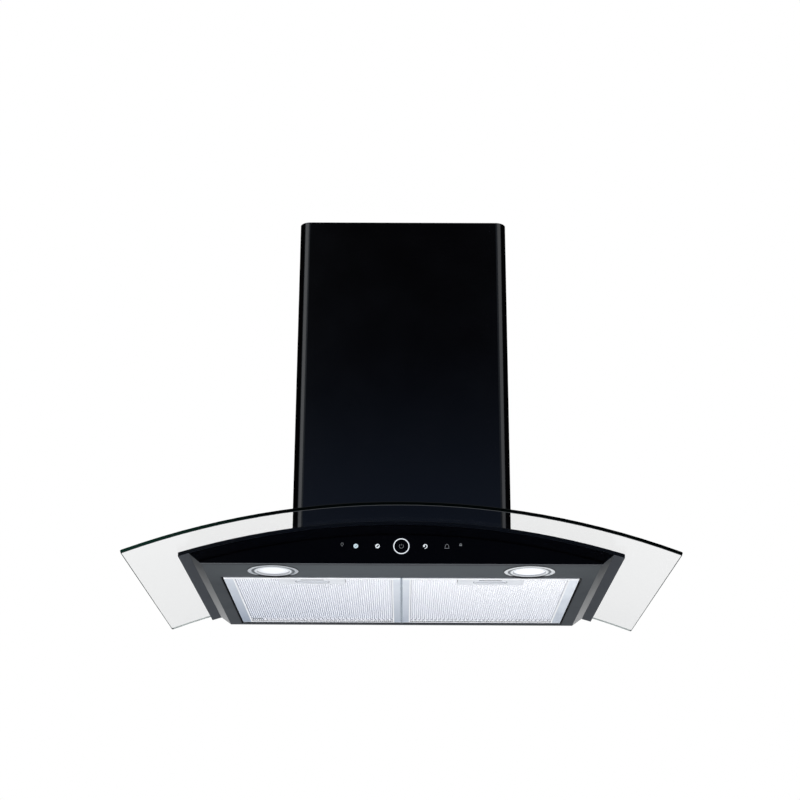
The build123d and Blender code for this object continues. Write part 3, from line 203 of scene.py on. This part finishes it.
def studio_world():
    """White behind the object, grey soft light on it, and a room that only reflections show."""
    world = bpy.data.worlds.new("studio")
    bpy.context.scene.world = world
    world.use_nodes = True
    world.node_tree.nodes.clear()
    sky = Nodes(world.node_tree)
    path = sky.new("LightPath").outputs
    parts = sky.new("SeparateXYZ")
    sky.fill(parts.inputs[0], sky.new("TexCoord").outputs["Generated"])
    x, y, z = (parts.outputs[axis] for axis in "XYZ")

    def fade(value, low, high):
        return sky.ranged(value, low, high, smooth=True)

    # what reflections show: blue low in front, a panel at each side of it, pale low at the sides and behind,
    # pale above and below, and dark elsewhere; each fade says where it starts and ends in a unit direction
    ahead = sky.maths("DIVIDE", sky.maths("MULTIPLY", y, -1.0), sky.length(x, y))
    low_front = sky.times(fade(ahead, 0.6, 0.9), fade(z, 0.37, 0.24))
    room = sky.blend(low_front, DARK_ROOM, LOW_FRONT)
    panels = sky.times(fade(ahead, 0.9955, 0.988), fade(ahead, 0.40, 0.54), fade(z, 0.02, 0.12),
                       fade(z, 0.75, 0.60))
    room = sky.blend(panels, room, sky.blend(fade(x, -0.1, 0.1), LEFT_PANEL, RIGHT_PANEL))
    low_sides = sky.times(fade(sky.maths("ABSOLUTE", x), 0.5, 0.8), fade(z, 0.14, 0.02))
    room = sky.blend(low_sides, room, LOW_SIDES)
    low_behind = sky.times(fade(y, 0.2, 0.6), fade(z, 0.16, 0.06))
    room = sky.blend(low_behind, room, LOW_BEHIND)
    room = sky.blend(fade(z, 0.7, 0.9), room, CEILING)
    room = sky.blend(fade(z, -0.3, -0.7), room, GROUND)

    after_mirror = sky.maths("GREATER_THAN", path["Glossy Depth"], 0.5)
    mirrored = sky.maths("MAXIMUM", path["Is Glossy Ray"], after_mirror)
    before_mirror = sky.maths("LESS_THAN", path["Glossy Depth"], 0.5)
    seen = sky.maths("MAXIMUM", path["Is Camera Ray"], sky.times(path["Is Transmission Ray"], before_mirror))
    shown = sky.blend(seen, sky.blend(mirrored, SOFT_GREY, room), WHITE)
    background = sky.new("Background")
    sky.fill(background.inputs["Color"], shown)
    sky.fill(sky.new("OutputWorld").inputs["Surface"], background.outputs[0])


def lamp(name, place, target, size, power):
    """A soft square lamp that faces the target."""
    data = bpy.data.lights.new(name, "AREA")
    data.shape = "RECTANGLE"
    data.size, data.size_y = size
    data.energy = power
    light = bpy.data.objects.new(name, data)
    bpy.context.scene.collection.objects.link(light)
    light.location = place
    way = Vector(target) - Vector(place)
    light.rotation_euler = way.to_track_quat("-Z", "Y").to_euler()
    light.visible_transmission = False


look_from_below()
studio_world()
lamp("key_left", (-1.9, -2.5, 1.3), (0, -0.2, 0), (1.8, 2.2), 34)
lamp("key_right", (2.0, -2.4, 1.1), (0, -0.2, 0), (1.8, 2.0), 24)
lamp("top_back", (0.0, 0.3, 2.8), (0, -0.2, 0), (2.4, 1.4), 21)
lamp("low_front", (0.0, -1.25, -1.35), (0, -0.36, -0.2), (1.6, 1.2), 8)
lamp("low_fill", (0.0, 0.1, -1.7), (0, -0.2, -0.2), (2.4, 1.6), 11.5)
lamp("low_left", (-2.3, -0.3, -1.1), (0, -0.2, -0.18), (1.2, 1.0), 12)
lamp("low_right", (2.3, -0.3, -1.1), (0, -0.2, -0.18), (1.2, 1.0), 14)

# ------------------------------------------------------------------ materials


class Look(Nodes):
    """One principled material, patterned by the place on the hood."""

    def __init__(self, name):
        self.material = bpy.data.materials.new(name)
        self.material.use_nodes = True
        super().__init__(self.material.node_tree)
        self.shader = self.tree.nodes["Principled BSDF"]
        self.coords = self.new("TexCoord").outputs["Object"]

    def set(self, **values):
        for key, value in values.items():
            self.shader.inputs[key.replace("_", " ")].default_value = value

    def link(self, source, key):
        self.tree.links.new(source, self.shader.inputs[key])

    def paint(self, color):
        self.link(color, "Base Color")

    def noise(self, size, stretch=(1, 1, 1), detail=3.0):
        """Noise whose grains are size millimetres wide, drawn out by stretch along each axis."""
        mapping = self.new("Mapping")
        mapping.inputs["Scale"].default_value = [1 / (size * MM * s) for s in stretch]
        self.fill(mapping.inputs["Vector"], self.coords)
        texture = self.new("TexNoise")
        texture.inputs["Scale"].default_value = 1.0
        texture.inputs["Detail"].default_value = detail
        self.fill(texture.inputs["Vector"], mapping.outputs[0])
        return texture.outputs["Fac"]

    def wave(self, pitch):
        """Even bands across X, pitch millimetres apart. Blender's own come 2 pi / 20 apart at scale 1."""
        texture = self.new("TexWave")
        texture.bands_direction = "X"
        texture.inputs["Scale"].default_value = 1 / (pitch * MM) / (20 / (2 * math.pi))
        self.fill(texture.inputs["Vector"], self.coords)
        return texture.outputs["Fac"]

    def axis(self, name, source=None):
        """One part of the place, or of another vector."""
        node = self.new("SeparateXYZ")
        self.fill(node.inputs[0], source or self.coords)
        return node.outputs[name]

    def facing(self, name):
        """One part of the true normal."""
        return self.axis(name, self.new("NewGeometry").outputs["Normal"])

    def across(self, middle=0.0):
        """Distance across X from the hood's middle plane, or from a place that both sides have."""
        away = self.maths("ABSOLUTE", self.axis("X"))
        return self.maths("SUBTRACT", away, middle * MM) if middle else away

    def bump(self, height, depth):
        """Relief of so many millimetres."""
        node = self.new("Bump")
        node.inputs["Strength"].default_value = 1.0
        node.inputs["Distance"].default_value = depth * MM
        self.fill(node.inputs["Height"], height)
        self.link(node.outputs["Normal"], "Normal")

    def mix_shader(self, share, other):
        """Another shader in place of this one, by the share."""
        mix = self.new("MixShader")
        for socket, value in zip(mix.inputs, (share, self.shader.outputs[0], other.outputs[0])):
            self.fill(socket, value)
        self.fill(self.tree.nodes["Material Output"].inputs["Surface"], mix.outputs[0])


def finish(name, color, rough, metallic=0.0, specular=0.5, tone=0.15, patch=70, grain=1.0,
           stretch=(1, 1, 1), relief=0.02, smudge=0.06):
    """A paint, plastic or metal: its tone and gloss drift over patches, its grain stands out a little."""
    look = Look(name)
    look.set(Metallic=metallic, Specular_IOR_Level=specular)
    drift = look.noise(patch, detail=4.0)
    fine = look.noise(grain, stretch)
    both = look.maths("ADD", look.maths("MULTIPLY", drift, 0.6), look.maths("MULTIPLY", fine, 0.4))
    darker = tuple(c * (1 - tone) for c in color)
    lighter = tuple(min(1.0, c * (1 + tone)) for c in color)
    look.plain = look.blend(look.ranged(both, 0.3, 0.7), darker, lighter)
    look.gloss = look.ranged(both, 0.3, 0.7, rough - smudge, rough + smudge)
    look.paint(look.plain)
    look.link(look.gloss, "Roughness")
    look.bump(fine, relief)
    return look


def dress(look, *names):
    """Give CAD nodes a material."""
    for name in names:
        for holder in nodes[name].material_slots:
            holder.material = look.material
    return look


def body_paint():
    """Black paint on the fronts and top. What faces down is painted dark grey, as light painted onto the
    same black paint, with painted shade to the rear and sides, and the sloped walls painted paler as painted
    light.
    """
    look = finish("body_paint", (0.055, 0.064, 0.069), 0.36, specular=0.12, tone=0.10, grain=0.9,
                  relief=0.008)
    y, z, across = look.axis("Y"), look.axis("Z"), look.across()
    lean = look.maths("ABSOLUTE", look.facing("X"))
    down = look.ranged(look.facing("Z"), -0.15, -0.4)
    # painted shade: darker to the rear and towards the sides
    underside_painted_light = look.blend(look.edge(y, *BODY_REAR), look.plain, (0.030, 0.036, 0.042))
    underside_painted_light = look.blend(look.edge(across, *BODY_SIDES, 0.0, 0.5), underside_painted_light, (0.022, 0.026, 0.028))
    # shadowed lip at the sides of the opening
    lip = look.times(look.edge(across, *OPENING_SIDE), look.edge(y, *OPENING_FRONT),
                     look.edge(y, *OPENING_REAR))
    underside_painted_light = look.blend(lip, underside_painted_light, (0.0015, 0.0015, 0.002))
    # narrow band behind the front edge
    underside_painted_light = look.blend(look.edge(y, *BODY_FRONT_BAND), underside_painted_light, (0.026, 0.029, 0.033))
    # flange and walls, with painted light: the sloped walls paler towards the rear
    underside_painted_light = look.blend(look.ranged(lean, 0.15, 0.25), underside_painted_light, (0.026, 0.030, 0.036))
    wall = look.blend(look.edge(y, -410, -20), (0.024, 0.026, 0.026), (0.34, 0.34, 0.335))
    underside_painted_light = look.blend(look.ranged(lean, 0.45, 0.6), underside_painted_light, wall)
    # painted highlight on the front edge of the sheet under the control glass
    edge_highlight = look.times(look.edge(z, *HIGHLIGHT_EDGE_Z), look.ranged(look.facing("Y"), -0.5, -0.9))
    black = look.blend(edge_highlight, (0.0007, 0.0007, 0.0009), (0.10, 0.105, 0.112))
    # painted light: what faces down takes the lit dark grey in place of the black
    look.paint(look.blend(down, black, underside_painted_light))
    # glossy outside, satin on what stands upright
    upright = look.ranged(lean, 0.8, 0.95, 0.4, 2.0)
    share = look.maths("ADD", look.times(upright, look.maths("SUBTRACT", 1.0, down)), down)
    look.link(look.times(look.gloss, share), "Roughness")
    return look


def paler_to_front(look, forward, rightward):
    """Share of painted light that grows from the filters' rear left corner towards their front and right."""
    ahead = look.edge(look.axis("Y"), -50, -340, 0.0, forward)
    return look.maths("ADD", ahead, look.edge(look.axis("X"), -240, 120, 0.0, rightward))


def filter_aluminium():
    """Folded frame: bluish flats that grow paler with painted light, painted highlights on the flanges and
    on lines round the mesh, and painted shade on the rear flange.
    """
    look = finish("filter_frame_aluminium", (0.86, 0.90, 0.97), 0.42, metallic=0.3, tone=0.08, patch=30,
                  grain=0.5, stretch=(1, 30, 1), relief=0.01)
    y, across = look.axis("Y"), look.across()
    flat = look.blend(paler_to_front(look, 0.62, 0.38), (0.34, 0.39, 0.47), look.plain)
    # painted highlights on the front and rear flanges and on lines along the sides of the mesh
    ends = look.maths("MAXIMUM", look.edge(y, *FRONT_FLANGE), look.edge(y, *REAR_FLANGE))
    sides = look.maths("MAXIMUM", look.band(across, *OUTER_LINE), look.band(across, *INNER_LINE))
    color = look.blend(look.maths("MAXIMUM", ends, sides), flat, (0.96, 0.965, 0.97))
    # painted shade on the rear flange
    look.paint(look.blend(look.edge(y, *REAR_SHADE), color, (0.075, 0.088, 0.11)))
    return look


def mesh_aluminium():
    """Fine ribbed aluminium: bright ridges, and grooves greyer with painted shade, broken into short
    staggered dashes; both grow paler with painted light.
    """
    look = finish("filter_mesh_aluminium", (0.985, 0.985, 0.995), 0.42, metallic=0.04, tone=0.02, patch=40,
                  grain=1.2, stretch=(1, 3, 1), relief=0.004)
    x, y = look.axis("X"), look.axis("Y")
    half_turn = math.pi / (RIDGE_WIDTH * MM)
    columns = look.maths("COSINE", look.times(look.across(GROOVE_X), half_turn))
    rows = look.maths("SINE", look.times(y, half_turn))
    dashes = look.ranged(look.times(columns, rows), -0.5, 0.5, 0.7, 1.0)
    # painted shade in the grooves, and painted light towards the front and right
    groove = look.edge(look.axis("Z"), *MESH_GROOVE_Z)
    light = paler_to_front(look, 0.55, 0.45)
    ridge_color = look.blend(light, (0.93, 0.95, 1.0), look.plain)
    groove_shade_color = look.blend(light, (0.28, 0.31, 0.38), (0.86, 0.87, 0.90))
    color = look.blend(look.times(groove, dashes), ridge_color, groove_shade_color)
    # plain hem at the rear with a painted highlight on its fold, and a row of drain holes before it with a
    # longer slot at the left
    color = look.blend(look.edge(y, *MESH_HEM), color, (0.98, 0.985, 1.0))
    row = look.band(y, *DRAIN_ROW)
    holes = look.ranged(look.wave(DRAIN_PITCH), 0.55, 0.7)
    color = look.blend(row, color, (0.90, 0.90, 0.93))
    color = look.blend(look.times(row, holes), color, (0.14, 0.15, 0.19))
    look.paint(look.blend(look.times(row, look.band(x, *DRAIN_SLOT)), color, (0.03, 0.05, 0.06)))
    return look


def latch_aluminium():
    """Plate and latch like the frames, a dark line round the finger window, and a dark bolt tongue."""
    look = finish("latch_metal", (0.74, 0.76, 0.79), 0.4, metallic=0.2, tone=0.06, patch=30, grain=0.4,
                  stretch=(30, 1, 1), relief=0.01)
    y = look.axis("Y")
    across = look.maths("ABSOLUTE", look.across(FILTER_X))
    across = look.maths("MAXIMUM", look.maths("SUBTRACT", across, WINDOW_END_X * MM), 0.0)
    from_end = look.length(across, look.maths("SUBTRACT", y, LATCH_Y * MM))
    line = look.band(look.maths("SUBTRACT", from_end, WINDOW_R * MM), *WINDOW_LINE)
    color = look.blend(line, look.plain, (0.26, 0.27, 0.30))
    look.paint(look.blend(look.edge(y, *BOLT_TONGUE), color, (0.05, 0.056, 0.06)))
    return look


def lamp_radius(look, forward=0.0):
    """Distance from the nearer lamp's axis, or from a line some millimetres in front of it."""
    return look.length(look.across(LAMP_X), look.maths("SUBTRACT", look.axis("Y"), (LAMP_Y - forward) * MM))


def to_the_right(look, left=0.0, right=1.0):
    """One value for the left lamp and another for the right."""
    return look.ranged(look.axis("X"), -0.1, 0.1, left, right)


def lamp_ring():
    """Satin nickel ring with painted shade in its groove and a painted highlight on the lip by the lens; the
    right one is painted paler as painted light.
    """
    look = finish("lamp_ring_nickel", (0.50, 0.525, 0.55), 0.42, metallic=0.3, specular=0.3, tone=0.08,
                  patch=12, grain=0.4, relief=0.004)
    radius = lamp_radius(look)
    # painted shade in the groove, a painted highlight on the lip, and a paler copy for the right ring as
    # painted light
    groove = look.band(radius, *RING_GROOVE)
    color = look.blend(groove, look.plain, (0.10, 0.11, 0.12))
    color = look.blend(look.edge(radius, *RING_LIP), color, (0.80, 0.83, 0.86))
    paler = look.blend(look.ranged(groove, 0.0, 1.0, 0.5, 0.1), color, (0.98, 1.0, 1.0))
    color = look.blend(to_the_right(look), color, paler)
    color = look.blend(look.edge(radius, *RING_INSIDE), color, (0.45, 0.46, 0.48))
    # painted shadow: a dark crescent on the rear half of the rim, and painted shade on the outer edge
    color = look.blend(look.edge(lamp_radius(look, 6.5), *RING_CRESCENT), color, (0.008, 0.009, 0.011))
    look.paint(look.blend(look.edge(radius, *RING_OUTSIDE), color, (0.03, 0.032, 0.035)))
    return look


def frosted_lens():
    """Lit frosted plastic, ribbed and a little dimmer towards its rim; the left one is dimmer."""
    look = finish("lamp_lens_frosted", (0.24, 0.25, 0.26), 0.5, tone=0.04, patch=20, grain=0.8, relief=0.02)
    radius = lamp_radius(look)
    ribs = look.maths("SINE", look.times(radius, 2 * math.pi / (RIB_PITCH * MM)))
    rim = look.edge(radius, *LENS_RIM)
    mottle = look.ranged(look.noise(7, detail=2.0), 0.3, 0.7, 0.0, 0.08)
    glow = look.maths("SUBTRACT", 1.0, look.times(rim, look.ranged(ribs, -1, 1, 0.10, 0.30)))
    glow = look.times(look.maths("SUBTRACT", glow, mottle), to_the_right(look, 0.80, 1.0))
    look.link(look.blend(glow, (0.0, 0.0, 0.0), (0.94, 0.96, 1.0)), "Emission Color")
    look.set(Emission_Strength=0.92)
    return look


def lit_mark(name, strength, tint=(0.88, 0.95, 1.0)):
    look = finish(name, (0.12, 0.125, 0.13), 0.5, tone=0.05, patch=6, grain=0.5, relief=0.0)
    look.set(Emission_Color=(*tint, 1.0), Emission_Strength=strength)
    return look.material


def power_light():
    """Light guide round the power mark: only its inner part glows."""
    look = finish("power_ring_light", (0.03, 0.03, 0.032), 0.4, tone=0.05, patch=6, grain=0.5, relief=0.0)
    radius = look.length(look.axis("X"), look.maths("SUBTRACT", look.axis("Z"), ICON_Z * MM))
    glow = look.edge(radius, *POWER_GLOW)
    look.link(look.blend(glow, (0.0, 0.0, 0.0), (0.90, 0.95, 1.0)), "Emission Color")
    look.set(Emission_Strength=1.0)
    return look


def divider_metal():
    """Like the filter frames, with a dark groove down its middle and painted shade on its rear end."""
    look = finish("divider_grey", (0.50, 0.57, 0.64), 0.45, specular=0.3, grain=0.6, relief=0.01)
    groove, rear = look.edge(look.across(), *DIVIDER_GROOVE), look.edge(look.axis("Y"), *DIVIDER_REAR)
    look.paint(look.blend(look.maths("MAXIMUM", groove, rear), look.plain, (0.03, 0.033, 0.038)))
    return look


dress(finish("black_steel_paint", (0.0006, 0.0005, 0.0007), 0.15, specular=0.25, grain=0.9, relief=0.003,
             smudge=0.02), "lower_chimney", "upper_chimney")
dress(body_paint(), "hood_shell", "top_plate")
black_glass = dress(finish("black_control_glass", (0.0004, 0.0003, 0.0005), 0.05, specular=0.035, tone=0.3,
                           grain=8, relief=0.0, smudge=0.02), "control_panel")
rubber = dress(finish("black_rubber", (0.012, 0.012, 0.013), 0.75, specular=0.3, grain=0.5, relief=0.03),
               "glass_tape", "inner_tape", "box_seal", "glass_bushes")
dress(finish("black_plastic", (0.016, 0.016, 0.018), 0.48, specular=0.4, grain=0.4, relief=0.02),
      "touch_carrier", "outlet_collar", "cable_gland")
dress(finish("board_green", (0.015, 0.13, 0.05), 0.45, tone=0.25, patch=12, grain=0.7), "touch_board")
dress(finish("light_board_white", (0.78, 0.78, 0.75), 0.5, tone=0.08, patch=12, grain=0.7),
      "lamp_board_left", "lamp_board_right")
dress(finish("cast_aluminium", (0.55, 0.56, 0.57), 0.45, metallic=1.0, grain=0.8, relief=0.04),
      "lamp_sink_left", "lamp_sink_right")
spring = dress(finish("spring_steel", (0.46, 0.46, 0.47), 0.3, metallic=1.0, grain=0.3, stretch=(1, 12, 1)),
               "lamp_clips_left", "lamp_clips_right")
dress(finish("zinc_steel", (0.44, 0.46, 0.48), 0.50, metallic=0.9, tone=0.22, patch=9, grain=2.5,
             relief=0.01), "blower_box", "fan_scroll", "inlet_rings", "cover_brackets", "top_bracket")
dress(finish("screw_steel", (0.50, 0.50, 0.52), 0.3, metallic=1.0, grain=0.3, relief=0.01),
      "clamp_screws", "clamp_nuts", "motor_bracket", "fan_screws", "flap_pins", "motor_shaft", "hub_nut")
dress(finish("black_screw", (0.02, 0.02, 0.022), 0.35, specular=0.5, grain=0.3, relief=0.01),
      "cover_screws")
dress(finish("motor_enamel", (0.05, 0.055, 0.06), 0.4, specular=0.5, grain=0.8, relief=0.03), "fan_motor")
dress(finish("fan_plastic", (0.10, 0.105, 0.11), 0.5, grain=0.6, relief=0.02), "fan_wheel")
dress(finish("flap_aluminium", (0.56, 0.57, 0.58), 0.48, metallic=0.9, grain=0.4, stretch=(20, 1, 1)),
      "damper_flap_front", "damper_flap_rear")
dress(finish("grey_plastic", (0.33, 0.34, 0.35), 0.5, grain=0.5, relief=0.02), "supply_box", "supply_lid")
dress(finish("white_plastic", (0.78, 0.77, 0.73), 0.45, tone=0.06, grain=0.5, relief=0.01),
      "run_capacitor", "terminal_block")
dress(filter_aluminium(), "filter_frame_left", "filter_frame_right")
dress(mesh_aluminium(), "filter_mesh_left", "filter_mesh_right")
dress(latch_aluminium(), "latch_plate_left", "latch_plate_right", "filter_latch_left", "filter_latch_right")
dress(lamp_ring(), "lamp_bezel_left", "lamp_bezel_right")
dress(frosted_lens(), "lamp_lens_left", "lamp_lens_right")
dress(power_light(), "power_ring")
bright_mark = lit_mark("mark_bright", 0.74)
blue_mark = lit_mark("mark_blue_white", 0.64, (0.70, 0.90, 1.0))
dim_mark = lit_mark("mark_dim", 0.045)


# ------------------------------------------------------------------ glass canopy


def new_piece(name, mesh, *materials):
    mesh.materials.clear()
    for material in materials:
        mesh.materials.append(material)
    piece = bpy.data.objects.new(name, mesh)
    bpy.context.scene.collection.objects.link(piece)
    return piece


def new_mesh(name, bm):
    mesh = bpy.data.meshes.new(name)
    bm.to_mesh(mesh)
    bm.free()
    return mesh


def clear_glass():
    """Clear faces, which let the lamps' light through."""
    look = Look("canopy_clear_glass")
    look.set(Metallic=0.0, Transmission_Weight=1.0, IOR=1.10, Roughness=0.0)
    drift = look.ranged(look.noise(220, detail=2.0), 0.3, 0.7)
    look.paint(look.blend(drift, (0.960, 0.966, 0.965), (0.974, 0.978, 0.978)))
    film = look.new("BsdfTransparent")
    film.inputs["Color"].default_value = (0.86, 0.88, 0.87, 1.0)
    look.mix_shader(look.new("LightPath").outputs["Is Shadow Ray"], film)
    return look


def ground_edge(name, color, rough, specular, tone, relief):
    return finish(name, color, rough, specular=specular, tone=tone, patch=25, grain=1.5, relief=relief)


def canopy():
    """The clear bent sheet, with its ground edges darker and greener than its faces."""
    front = ground_edge("canopy_front_edge", (0.0005, 0.0012, 0.0010), 0.10, 0.01, 0.35, 0.002)
    leftward = front.edge(front.axis("X"), -180, -360)
    front.paint(front.blend(leftward, front.plain, (0.005, 0.022, 0.015)))
    looks = {
        "face": clear_glass(),
        "front": front,
        "side": ground_edge("canopy_side_edge", (0.045, 0.06, 0.055), 0.25, 0.2, 0.2, 0.005),
        "rear": ground_edge("canopy_rear_edge", (0.55, 0.60, 0.58), 0.3, 0.4, 0.1, 0.005),
        "arris": ground_edge("canopy_lower_arris", (0.010, 0.014, 0.018), 0.2, 0.35, 0.2, 0.002),
    }
    places = list(looks)
    mesh = nodes["glass_canopy"].data.copy()
    piece = new_piece("canopy_sheet", mesh, *(look.material for look in looks.values()))
    for face in mesh.polygons:
        outward = Vector((face.center.x, 0, face.center.z - ARC_CENTRE_Z * MM)).normalized()
        rise = face.normal.dot(outward)
        if abs(rise) > 0.9:
            place = "face"
        elif face.center.y < -0.49 and abs(face.normal.y) > 0.3:
            place = "arris" if rise < -0.4 else "front"
        elif abs(face.center.x) > 0.36 and abs(face.normal.x) > 0.3:
            place = "side"
        else:
            place = "rear"
        face.material_index = places.index(place)
    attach(piece, "hood")
    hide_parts("glass_canopy")


canopy()


# ------------------------------------------------------------------ strips and springs of the filters


def strip(name, low, high, body, material, bevel=0.2):
    """Long bar between two corners given in millimetres, its edges rounded."""
    bm = bmesh.new()
    bmesh.ops.create_cube(bm, size=1.0)
    for vert in bm.verts:
        for i in range(3):
            vert.co[i] = (low[i] if vert.co[i] < 0 else high[i]) * MM
    bmesh.ops.bevel(bm, geom=bm.edges[:], offset=bevel * MM, segments=2, affect="EDGES", profile=0.5)
    piece = new_piece(name, new_mesh(name, bm), material)
    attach(piece, body)


def latch_leaf(word):
    """The bowed leaf spring behind a latch, a copy of the CAD spring in spring steel, carried by its filter.
    """
    piece = new_piece(f"latch_leaf_{word}", nodes[f"latch_spring_{word}"].data.copy(), spring.material)
    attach(piece, f"filter_{word}")
    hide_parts(f"latch_spring_{word}")
    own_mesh(piece)


strip("filter_divider", (-1.25, -344.0, -200.9), (1.25, -26.0, -198.6), "hood", divider_metal().material)
for side, word in SIDES:
    left, right = side * FILTER_X - FILTER_WIDTH / 2, side * FILTER_X + FILTER_WIDTH / 2
    # a dark rubber strip under each filter's rear edge, standing in for the shade there
    strip(f"filter_shade_strip_{word}", (left + 1.2, -41.0, -201.7), (right - 1.2, FILTER_REAR - 0.9, -201.1),
          f"filter_{word}", rubber.material, 0.1)
for _, word in SIDES:
    latch_leaf(word)


# ------------------------------------------------------------------ marks on the control glass


def round_points(radius, start, end, steps, u=0.0, v=0.0):
    """Points on a circle from one angle to another, in degrees, both ends included."""
    turns = [math.radians(start + (end - start) * i / steps) for i in range(steps + 1)]
    return [(u + radius * math.cos(t), v + radius * math.sin(t)) for t in turns]


class Drawing:
    """Flat marks in the X-Z plane, drawn in millimetres about a centre and given a little thickness."""

    def __init__(self, x, z):
        self.bm = bmesh.new()
        self.x, self.z = x, z

    def point(self, u, v):
        return self.bm.verts.new(((self.x + u) * MM, 0.0, (self.z + v) * MM))

    def stroke(self, points, width):
        """Line of even width through the points."""
        lefts, rights = [], []
        for i, here in enumerate(points):
            before, after = points[max(i - 1, 0)], points[min(i + 1, len(points) - 1)]
            du, dv = after[0] - before[0], after[1] - before[1]
            length = math.hypot(du, dv)
            du, dv = du / length * width / 2, dv / length * width / 2
            lefts.append(self.point(here[0] - dv, here[1] + du))
            rights.append(self.point(here[0] + dv, here[1] - du))
        for i in range(len(points) - 1):
            self.bm.faces.new((lefts[i], lefts[i + 1], rights[i + 1], rights[i]))

    def arc(self, radius, start, end, width, v=0.0, steps=24):
        self.stroke(round_points(radius, start, end, steps, v=v), width)

    def area(self, points):
        self.bm.faces.new([self.point(*p) for p in points])

    def disc(self, radius, u=0.0, v=0.0, steps=24):
        self.area(round_points(radius, 0, 360, steps, u, v)[:-1])

    def finished(self, name, material, front=BODY_FRONT, depth=MARK_DEPTH):
        """Close the mark into a piece that stands out from the plane at front."""
        bmesh.ops.remove_doubles(self.bm, verts=self.bm.verts, dist=1e-6)
        grown = bmesh.ops.extrude_face_region(self.bm, geom=self.bm.faces[:], use_keep_orig=True)
        moved = [g for g in grown["geom"] if isinstance(g, bmesh.types.BMVert)]
        bmesh.ops.translate(self.bm, verts=moved, vec=(0, -depth * MM, 0))
        bmesh.ops.translate(self.bm, verts=self.bm.verts, vec=(0, front * MM, 0))
        bmesh.ops.recalc_face_normals(self.bm, faces=self.bm.faces)
        piece = new_piece(name, new_mesh(name, self.bm), material)
        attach(piece, "hood")

    def finished_on_mark(self, name):
        """A black detail on a lit mark."""
        self.finished(name, black_glass.material, BODY_FRONT - MARK_DEPTH, MARK_DEPTH / 2)


def marks():
    """Generic touch marks: lamp, timer, slower, power, faster, filter and lock."""
    bulb = Drawing(-82, ICON_Z + 2)
    bulb.arc(1.7, -50, 230, 0.5, v=0.6)
    bulb.stroke([(-0.9, -1.2), (0.9, -1.2)], 0.5)
    bulb.stroke([(-0.7, -2.1), (0.7, -2.1)], 0.5)
    bulb.finished("mark_lamp", dim_mark)

    clock = Drawing(-63, ICON_Z)
    clock.arc(2.5, 0, 360, 1.5, steps=32)
    clock.disc(1.76)
    clock.finished("mark_timer", blue_mark)
    hands = Drawing(-63, ICON_Z)
    hands.stroke([(-1.2, 0.1), (-0.2, -0.7), (1.4, 1.0)], 0.6)
    hands.finished_on_mark("mark_timer_hands")

    slower = Drawing(-33, ICON_Z)
    slower.disc(3.1, steps=32)
    slower.finished("mark_slower", bright_mark)
    leaf = Drawing(-33, ICON_Z)
    leaf.area([(-1.9, -1.6), (0.2, -1.2), (1.7, 0.3), (2.0, 1.9), (0.1, 1.3), (-1.3, 0.0)])
    leaf.finished_on_mark("mark_slower_leaf")

    power = Drawing(0, ICON_Z)
    power.arc(2.9, 125, 415, 0.55)
    power.stroke([(0, 1.0), (0, 3.4)], 0.55)
    power.finished("mark_power", dim_mark)

    faster = Drawing(33, ICON_Z)
    faster.arc(2.5, -60, 195, 1.2)
    faster.stroke([(1.25, -2.15), (0.3, -3.0), (-0.8, -3.4)], 0.8)
    faster.disc(1.3, u=-1.6, v=0.2)
    faster.finished("mark_faster", bright_mark)

    grease = Drawing(63, ICON_Z)
    dome = [(-2.6, -2.8), (-2.4, 0.4), (-1.5, 2.4), (0, 3.1), (1.5, 2.4), (2.4, 0.4), (2.6, -2.8)]
    grease.stroke(dome, 0.6)
    grease.stroke([(-3.4, -2.8), (3.4, -2.8)], 0.6)
    grease.finished("mark_filter", dim_mark)

    lock = Drawing(82, ICON_Z + 2)
    lock.arc(1.3, 0, 180, 0.5, v=0.9)
    lock.area([(-1.8, 0.7), (-1.8, -1.4), (1.8, -1.4), (1.8, 0.7)])
    lock.finished("mark_lock", dim_mark)


marks()


# ------------------------------------------------------------------ floor


def floor():
    """Pale round floor below the hood, white towards its rim where the camera sees it."""
    bm = bmesh.new()
    bmesh.ops.create_circle(bm, cap_ends=True, segments=96, radius=4.0)
    look = Look("floor_pale")
    look.set(Roughness=0.9, Specular_IOR_Level=0.1, Base_Color=(0.86, 0.86, 0.87, 1.0))
    away = look.new("VectorMath")
    away.operation = "LENGTH"
    look.fill(away.inputs[0], look.coords)
    rim = look.ranged(away.outputs["Value"], 2.2, 3.9)
    look.mix_shader(look.times(rim, look.new("LightPath").outputs["Is Camera Ray"]), look.new("Emission"))
    ground = new_piece("floor", new_mesh("floor", bm), look.material)
    ground.location = (0, -0.2, -2.35)


floor()

bpy.context.scene.view_settings.view_transform = "Standard"
